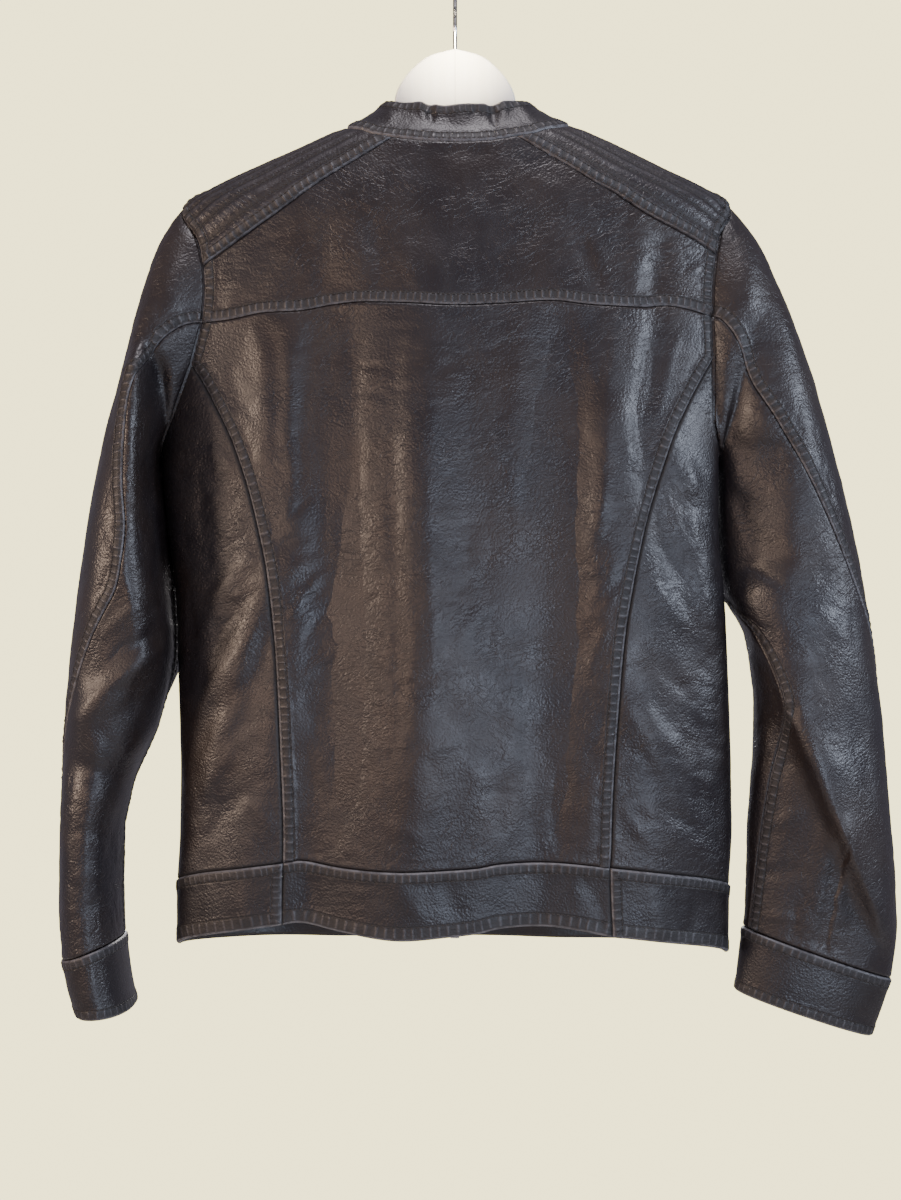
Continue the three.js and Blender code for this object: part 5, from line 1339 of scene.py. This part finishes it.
def sleeveAngles(side):
    r = runs[side]
    loop = chain((backwards(r["armBackHalf"]), 4), (r["armYoke"], 4), (r["armCentre"], 1), (r["armSide"], 5),
                 (r["armFront"], 9), (backwards(r["armFrontHalf"]), 4))
    plan = loop(np.arange(loopColumns) / loopColumns)
    corners = bodyPoint(plan[:, 0] / angleScale, plan[:, 1])
    lengths = walked(np.concatenate([corners, corners[:1]]))
    under, whole = lengths[underarmColumn], lengths[-1]
    starts = np.where(lengths <= under, math.pi * lengths / under,
                      math.pi + math.pi * (lengths - under) / (whole - under))
    hind0, inner0 = starts[hindColumn], starts[innerColumn]
    table = np.array([(0, math.degrees(hind0), math.degrees(inner0))] + sleeveSeams[side], float)

    def angles(k, at):
        own = np.interp(k % loopColumns, np.arange(loopColumns + 1), starts)
        hind, inner = (np.radians(readRows(table, c, at)) for c in (1, 2))
        own, hind, inner = own[None, :], hind[:, None], inner[:, None]
        under = hind + (inner - hind) * (own - hind0) / (inner0 - hind0)
        wrapped = own + 2 * math.pi * (k[None, :] >= loopColumns)
        upper = inner + (hind + 2 * math.pi - inner) * (wrapped - inner0) / (hind0 + 2 * math.pi - inner0)
        return np.where(k[None, :] <= innerColumn, under, upper)
    return loop, angles


# sharper folds over the broad ones, laid out as those are
sharpFolds = {
    "left": [
        (-246, -326, -236, -520, 6, 10, 4.5, 1), (-240, -324, -234, -374, -8, 7, 8, 1),
        (-262, -470, -240, -560, 2.5, 12, 7, -1),
    ],
    "right": [
        (232, -520, 340, -770, 4, 14, 5, -1), (224, -330, 232, -430, -3, 10, 10, -1),
    ],
}
# the inside of the left sleeve swings in beside the body: z and how far, and its angles
swingIn = {
    "rows": np.array([
        (-372, 0), (-380, 4.5), (-392, 8.5), (-409, 12), (-430, 13), (-453, 13), (-483, 13),
        (-502, 13), (-524, 12), (-550, 11.5), (-568, 10.5), (-580, 6), (-596, 0)]),
    "angle": 218, "width": 21,
}


# the hidden front of a sleeve creases much as its back does, a little lower and the other way
def frontOf(creases):
    return [(x0 + 4, z0 - 16, x1 - 3, z1 - 22, wide * 1.1, -rise, -bow)
            for x0, z0, x1, z1, wide, rise, bow in creases]


def makeSleeve(side, seed):
    rows = sleeveRows[side]
    last = len(rows) - 1
    loop, angles = sleeveAngles(side)
    outerEnd, innerEnd = sleeveSection(rows, np.array([0.0]))[:2]
    middle = ((outerEnd + innerEnd) / 2)[0]
    firstAt = last * (1 / 19) ** sleeveCrowding
    pieces = [("sleeveUnder", hindColumn, innerColumn, 195),
              ("sleeveUpper", innerColumn, hindColumn + loopColumns, 235)]
    for number, (name, start, end, girth) in enumerate(pieces):
        v = stations(640, 2.4)
        at = last * v ** sleeveCrowding
        k = start + (end - start) * stations(girth, 1.9)
        plan = loop((k % loopColumns) / loopColumns)
        place, normal, away = edgePlaces(plan, False, middle)
        angle = angles(k, at)
        section = [part[:, None] for part in sleeveSection(rows, at)]
        round_ = sectionPoint(section, angle)
        share = np.clip(at / armholeRows, 0, 1)
        turned = (share * (2 - share))[:, None, None]
        net = place + (round_ - place) * turned
        ends = (smooth(at / foldsOnset) * smooth((last - at) / foldsEnd))[:, None]
        facing = np.clip(np.sin(angle), 0, 1) * ends
        folds = sleeveFolds[side] + sharpFolds[side]
        net[..., 1] -= sleeveFoldHeight(folds, net[..., 0], net[..., 2]) * facing
        if side == "left":
            aside = np.exp(-((np.degrees(angle) % 360 - swingIn["angle"]) / swingIn["width"]) ** 2)
            net[..., 0] += readRows(swingIn["rows"], 1, net[..., 2]) * aside
        middles = (section[0] + section[1])[:, 0] / 2
        normals = netNormals(net, False, middles)
        styles = edgeSet("tucked", "tucked", "tucked", "lapped")
        height, seamUv, wear, distances = dressEdges(net, styles, seed + number)
        behind = smooth(np.sin(angle) * 2)
        relief = leatherSwell(net, 1.2) + behind * creaseHeight(sleeveCreases[side], net)
        relief = relief + (1 - behind) * creaseHeight(frontOf(sleeveCreases[side]), net)
        height = height + calmEdges(net, styles, 9) * relief
        ease = np.clip(1 - at / firstAt, 0, 1)[:, None, None]
        outerFirst, innerFirst = firstOffsets(normal, away, normals[0], wall, 0)
        outer = net + outerFirst * ease + normals * height[..., None]
        inner = (net - normals * wall * (1 - ease) + innerFirst * ease)[fewer]
        for edgeNet in (outer, inner):
            for index, neighbour in ((0, 1), (-1, -2)):
                edgeNet[:, index] += unit(edgeNet[:, neighbour] - edgeNet[:, index]) * seamGap / 2
        keepStitches("sleeve", outer, normals, distances, "right", "lapped", 4)
        wallObject(name + side.title(), outer, inner, "leather", seamUv, wear)
    return angles, np.array([float(last)])


def makeCuff(side, angles, last, seed):
    rows = [row + (0, 0) for row in cuffRows[side]]
    v = stations(46 if side == "right" else 52, 1.8)
    count = 132
    k = hindColumn + np.arange(count) / count * loopColumns
    angle = angles(k, last)[0]
    section = [part[:, None] for part in sleeveSection(rows, v * 2)]
    net = sectionPoint(section, np.broadcast_to(angle, (len(v), count)))
    middles = (section[0] + section[1])[:, 0] / 2
    normals = netNormals(net, True, middles)
    height, seamUv, wear, distances = dressEdges(net, {"bottom": "single", "top": "single"}, seed)
    height = height + 0.6 * leatherSwell(net, 0.9)
    down = unit((middles[1] - middles[0])[None])[0]
    drop = 0.6 * np.clip(1 - v * 6, 0, 1)[:, None, None] * down
    outer = net + normals * (bandLift + height)[..., None] + drop
    inner = (net + normals * (bandLift - bandWall) + drop)[fewer]
    for edge in ("bottom", "top"):
        keepStitches("cuff", outer, normals, distances, edge, "single", 0)
    wallObject("cuff" + side.title(), outer, inner, "leather_doubled", seamUv, wear, ring=True)


for seed, side in ((50, "left"), (60, "right")):
    makeCuff(side, *makeSleeve(side, seed), seed + 5)
print("sleeves and cuffs made")

# the stitches of a group of pieces, as one mesh of short round-ended threads
stitch = {"pitch": 4.0, "length": 2.9, "radius": 0.32, "sides": 5, "rise": 0.12, "lean": 0.09}


def stitchPlaces(line, up):
    lengths = walked(line)
    count = int(lengths[-1] // stitch["pitch"])
    at = (np.arange(count) + 0.5) * stitch["pitch"]
    place, ahead = readAlong(at, lengths, line), readAlong(at + 0.5, lengths, line)
    return place, unit(ahead - place), unit(readAlong(at, lengths, up))


def makeStitches(name, rows):
    found = [stitchPlaces(*row) for row in rows]
    place, along, up = (np.concatenate([part[k] for part in found]) for k in range(3))
    side = unit(np.cross(along, up))
    up = np.cross(side, along)
    along = unit(along + side * stitch["lean"])
    place = place + up * stitch["rise"]
    sides, half = stitch["sides"], stitch["length"] / 2
    turn = 2 * math.pi * np.arange(sides) / sides
    profile = [(-1, 0.0), (-0.72, 1.0), (0.72, 1.0), (1, 0.0)]
    points = []
    for reach, wide in profile:
        for a in (turn if wide else turn[:1]):
            across = (side * math.cos(a) + up * math.sin(a)) * stitch["radius"] * wide
            points.append(place + along * half * reach + across)
    points = np.stack(points, axis=1)
    first, second, last = 1, 1 + sides, 1 + 2 * sides
    faces = []
    for k in range(sides):
        n = (k + 1) % sides
        faces.append((0, first + n, first + k, first + k))
        faces.append((first + k, first + n, second + n, second + k))
        faces.append((second + k, second + n, last, last))
    each = points.shape[1]
    whole = (np.array(faces)[None] + each * np.arange(len(points))[:, None, None]).reshape(-1, 4)
    faces = [tuple(dict.fromkeys(f)) for f in whole.tolist()]
    mesh = bpy.data.meshes.new(name)
    mesh.from_pydata((points.reshape(-1, 3) * mm).tolist(), [], faces)
    turnOutwards(mesh)
    mesh.shade_smooth()
    mesh.materials.append(thread)
    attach(placed(name, mesh), "jacket")
    return len(place)


for group, rows in stitchRuns.items():
    print("stitches on the", group, makeStitches(group + "Stitches", rows))


# centre front zip
zipChain = {"fromCentre": 0.35, "width": 13, "top": -181, "bottom": -789, "behind": 0.5, "tape": 1.0,
            "pitch": 2.8, "firstTooth": -196, "lastTooth": -787, "depth": 3.3}


def makeTapes():
    for side, sign in (("left", -1), ("right", 1)):
        corner = {(x, z): onFront((sign * zipChain[x], zipChain[z]))
                  for x in ("fromCentre", "width") for z in ("bottom", "top")}
        ends = [straight(corner["fromCentre", z], corner["width", z]) for z in ("bottom", "top")]
        sides = [straight(corner[x, "bottom"], corner[x, "top"]) for x in ("fromCentre", "width")]
        bodyPanel("zipTape" + side.title(), (*ends, *sides), (13, 608), edgeSet(None, None, None, None),
                  slotName="zip_tape", thickness=zipChain["tape"],
                  lift=bandLift - bandWall - zipChain["behind"], swell=0.12)


# small steps for modelling the hard pieces

def selectOnly(obj=None):
    bpy.ops.object.select_all(action="DESELECT")
    if obj:
        obj.select_set(True)
        bpy.context.view_layer.objects.active = obj


def editAll():
    bpy.ops.object.mode_set(mode="EDIT")
    bpy.ops.mesh.select_all(action="SELECT")


def editDone():
    bpy.ops.object.mode_set(mode="OBJECT")


def newCube():
    selectOnly()
    bpy.ops.mesh.primitive_cube_add(size=1)
    editAll()
    return bpy.context.active_object


def extrude(x, y, z):
    bpy.ops.mesh.extrude_region_move(TRANSFORM_OT_translate={"value": (x, y, z)})


def easeEdges(obj, width, segments, angle):
    ease = obj.modifiers.new("ease", "BEVEL")
    ease.width, ease.segments, ease.limit_method, ease.angle_limit = width * mm, segments, "ANGLE", angle
    bpy.ops.object.modifier_apply(modifier="ease")


def smoothTo(degrees):
    bpy.ops.object.shade_smooth_by_angle(angle=math.radians(degrees))


# a tooth, in mm: its jaw, then a neck and a head that reach across the chain
tooth = {"jaw": (2.2, 2.5, 1.25), "aside": 1.9, "neck": (-0.7, 0.8, 0.6), "head": (-0.75, 1.0, 1.5),
         "ease": 0.22}


def makeTooth():
    obj = newCube()
    bpy.ops.transform.resize(value=tooth["jaw"])
    bpy.ops.transform.translate(value=(tooth["aside"], 0, 0))
    bpy.ops.mesh.select_all(action="DESELECT")
    editDone()
    for face in obj.data.polygons:
        face.select = face.normal.x < -0.9
    bpy.ops.object.mode_set(mode="EDIT")
    for reach, deep, high in (tooth["neck"], tooth["head"]):
        extrude(reach, 0, 0)
        bpy.ops.transform.resize(value=(1, deep, high))
    bpy.ops.mesh.select_all(action="SELECT")
    bpy.ops.mesh.bevel(offset=tooth["ease"], segments=1, affect="EDGES")
    editDone()
    points = np.array([v.co for v in obj.data.vertices])
    faces = [tuple(f.vertices) for f in obj.data.polygons]
    bpy.data.objects.remove(obj)
    return points, faces


def makeTeeth():
    points, faces = makeTooth()
    count = int((zipChain["firstTooth"] - zipChain["lastTooth"]) / zipChain["pitch"])
    for side, sign in (("left", -1), ("right", 1)):
        z = zipChain["firstTooth"] - zipChain["pitch"] * (np.arange(count) + (0.5 if sign > 0 else 0))
        front = bodyPoint(np.full(count, 1.5 * math.pi), z)
        front[:, 0] = 0
        front[:, 1] -= zipChain["depth"]
        every = points[None] * [sign, 1, 1] + front[:, None]
        name = "zipTeeth" + side.title()
        mesh = bpy.data.meshes.new(name)
        shifted = [tuple(k + n * len(points) for k in f) for n in range(count) for f in faces]
        mesh.from_pydata((every.reshape(-1, 3) * mm).tolist(), [], shifted)
        turnOutwards(mesh)
        settle(placed(name, mesh), "zip_metal")


# a merged copy of a node, with its edges eased
def easedCopy(name, body, width):
    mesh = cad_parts[nodeOf(name)].data.copy()
    mesh.name = name
    obj = settle(placed(name, mesh), "zip_metal", body)
    selectOnly(obj)
    editAll()
    bpy.ops.mesh.remove_doubles(threshold=1e-6)
    bpy.ops.mesh.dissolve_limited(angle_limit=math.radians(2))
    editDone()
    easeEdges(obj, width, 2, 0.6)
    smoothTo(40)
    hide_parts(nodeOf(name))


# the box at the chain's lower end, which both tapes end in
zipBox = {"width": 7.6, "thickness": 3.4, "height": 12, "middle": -790.5, "depth": 2.9, "ease": 0.7}


def makeZipBox():
    front = bodyPoint(np.array([1.5 * math.pi]), np.array([zipBox["middle"]]))[0, 1]
    obj = newCube()
    bpy.ops.transform.resize(value=[zipBox[size] * mm for size in ("width", "thickness", "height")])
    bpy.ops.transform.translate(value=(0, (front - zipBox["depth"]) * mm, zipBox["middle"] * mm))
    bpy.ops.mesh.bevel(offset=zipBox["ease"] * mm, segments=3, affect="EDGES")
    editDone()
    smoothTo(35)
    obj.name = obj.data.name = "zipBox"
    settle(obj, "zip_metal")


makeTapes()
makeTeeth()
makeZipBox()
easedCopy("zipSlider", "jacket", 0.3)
easedCopy("zipPullTab", "pull_tab", 0.3)
print("zip made")


# wooden hanger: its outline from the crown round one side, its thickness, its eased edges
hanger = {
    "crown": -62, "thickness": 13, "seat": 2.6, "ease": 2.4, "points": 220,
    "dome": [(20.5, -67.5), (34, -77.5), (43.5, -89), (48.5, -100), (50.5, -112), (60, -125), (76, -131.5)],
    "arm": [96, 126, 160, 192],
    "tip": [(205, -191), (208, -199), (201, -204)],
    "under": [(165, -190), (110, -168), (55, -150)], "underMiddle": -143,
    "notch": {"z": -104, "radius": 2.2, "depth": 2},
}


def ridgeHeight(x):
    z = np.linspace(bodyRows[0, 0], bodyRows[6, 0], 400)
    return float(np.interp(abs(x), np.abs(readRows(bodyRows, 1 if x < 0 else 2, z)), z))


def hangerOutline():
    def half(sign):
        top = [(sign * x, z) for x, z in hanger["dome"]]
        top += [(sign * x, ridgeHeight(sign * x) - hanger["seat"] - wall) for x in hanger["arm"]]
        return top + [(sign * x, z) for x, z in hanger["tip"] + hanger["under"]]
    crown = [(0, hanger["crown"])]
    points = crown + half(1) + [(0, hanger["underMiddle"])] + half(-1)[::-1] + crown
    return splineAt(np.array(points, float), np.arange(hanger["points"]) / hanger["points"])


def makeHanger():
    outline = hangerOutline()
    selectOnly()
    bpy.ops.mesh.primitive_circle_add(vertices=hanger["points"], radius=0.2, fill_type="NGON")
    obj = bpy.context.active_object
    obj.name = obj.data.name = "hangerWood"
    back = -hanger["thickness"] / 2
    for vertex, (x, z) in zip(obj.data.vertices, outline):
        vertex.co = Vector((x, back, z)) * mm
    editAll()
    extrude(0, hanger["thickness"] * mm, 0)
    bpy.ops.mesh.select_all(action="SELECT")
    bpy.ops.mesh.normals_make_consistent(inside=False)
    editDone()
    easeEdges(obj, hanger["ease"], 4, 1.0)
    smoothTo(35)
    settle(obj, "hanger_wood")
    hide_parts("hanger_wood")


# wire hook: its stem as (y, z) in the plane of the bow, and the bow's degrees
hook = {"wire": 1.7, "inside": 17, "stem": [(0, -81.5), (0, -66), (0, -52), (-1.2, -43), (-5.6, -36.4)],
        "from": 228, "to": -36, "step": 12}


def makeHook():
    radius = hook["inside"] + hook["wire"]
    turns = np.radians(np.arange(hook["from"], hook["to"] - 1, -hook["step"]))
    bow = [(radius * math.cos(a), radius * math.sin(a) - hook["inside"]) for a in turns]
    line = splineAt(np.array([(0, y, z) for y, z in hook["stem"] + bow], float), np.linspace(0, 1, 140))
    curve = bpy.data.curves.new("hangerHook", "CURVE")
    curve.dimensions = "3D"
    curve.bevel_depth, curve.bevel_resolution, curve.use_fill_caps = hook["wire"] * mm, 4, True
    run = curve.splines.new("POLY")
    run.points.add(len(line) - 1)
    for point, place in zip(run.points, line):
        point.co = (*(place * mm), 1)
    selectOnly(placed("hangerHook", curve))
    bpy.ops.object.convert(target="MESH")
    obj = bpy.context.active_object
    turnOutwards(obj.data)
    smoothTo(40)
    settle(obj, "hook_wire")
    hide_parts("hanger_hook")


makeHanger()
makeHook()
print("hanger made")

for cut in flatCuts:
    print("cut", cut)

# the room: a pale floor, soft lights and a plain pale surround
room = {
    "floor": -2.0, "floorSize": 5.8, "surround": (3.2, 2.85, 1.5), "ambient": (0.28, 0.265, 0.32),
    "lights": [
        ("leftLight", (-2.1, -0.9, -0.1), 0.6, 35, (1.0, 0.75, 0.57)),
        ("leftNearLight", (-1.1, -1.9, -0.5), 0.6, 11, (1.0, 0.69, 0.50)),
        ("rightLight", (2.0, -0.9, 0.1), 0.6, 31, (0.75, 0.84, 1.0)),
        ("rightNearLight", (0.85, -2.0, -0.75), 0.6, 17, (0.70, 0.81, 1.0)),
        ("topLight", (0.1, -0.55, 1.5), 0.8, 26, (0.97, 0.92, 0.97)),
        ("frontLightRight", (0.5, 2.4, 0.3), 0.6, 30, (1.0, 0.95, 0.9)),
        ("frontLightLeft", (-0.5, 2.4, 0.1), 0.6, 26, (0.92, 0.96, 1.0)),
    ],
    "aim": (0, 0, -0.48),
    "domeLight": {
        "aim": (0, 0, -0.056), "angle": 2.8, "blend": 0.15, "size": 0.03, "colour": (1.0, 0.88, 0.64),
        "places": [("Back", (0, -1.6, 0.25), 1250), ("Front", (0, 1.6, 0.25), 450)],
    },
    "floorColour": (0.72, 0.70, 0.66, 1), "floorRoughness": 0.8,
}


def placeLamp(lamp, place, aim):
    obj = placed(lamp.name, lamp)
    obj.location = place
    obj.rotation_euler = (Vector(aim) - Vector(place)).to_track_quat("-Z", "Y").to_euler()


def makeRoom():
    selectOnly()
    bpy.ops.mesh.primitive_plane_add(size=room["floorSize"], location=(0, 0, room["floor"]))
    floor = bpy.context.active_object
    floor.name = "floor"
    material, _, shader = newMaterial("paleFloor")
    shader.inputs["Base Color"].default_value = room["floorColour"]
    shader.inputs["Roughness"].default_value = room["floorRoughness"]
    floor.data.materials.append(material)
    for name, place, size, power, colour in room["lights"]:
        lamp = bpy.data.lights.new(name, "AREA")
        lamp.shape, lamp.size, lamp.energy, lamp.color = "DISK", size, power, colour
        placeLamp(lamp, place, room["aim"])
    spot = room["domeLight"]
    for end, place, power in spot["places"]:
        lamp = bpy.data.lights.new("domeLight" + end, "SPOT")
        lamp.energy, lamp.spot_size, lamp.spot_blend = power, math.radians(spot["angle"]), spot["blend"]
        lamp.color, lamp.shadow_soft_size = spot["colour"], spot["size"]
        placeLamp(lamp, place, spot["aim"])
    world = bpy.data.worlds.new("surround")
    scene.world = world
    world.use_nodes = True
    tree = world.node_tree
    tree.nodes.clear()
    seen = addNode(tree, "ShaderNodeLightPath").outputs["Is Camera Ray"]
    colour = blendColours(tree, seen, room["ambient"], room["surround"])
    shade = addNode(tree, "ShaderNodeBackground", {"Color": colour, "Strength": 1.0})
    out = tree.nodes.new("ShaderNodeOutputWorld")
    tree.links.new(shade.outputs[0], out.inputs["Surface"])


makeRoom()

view = {"place": (-0.0037, -1.5, -0.51), "lens": 55.2, "sensor": 36}
camera = bpy.data.cameras.new("camera")
camera.lens, camera.sensor_width, camera.sensor_fit = view["lens"], view["sensor"], "AUTO"
camera.dof.use_dof = False
viewer = placed("camera", camera)
viewer.location = view["place"]
viewer.rotation_euler = (math.radians(90), 0, 0)
scene.camera = viewer
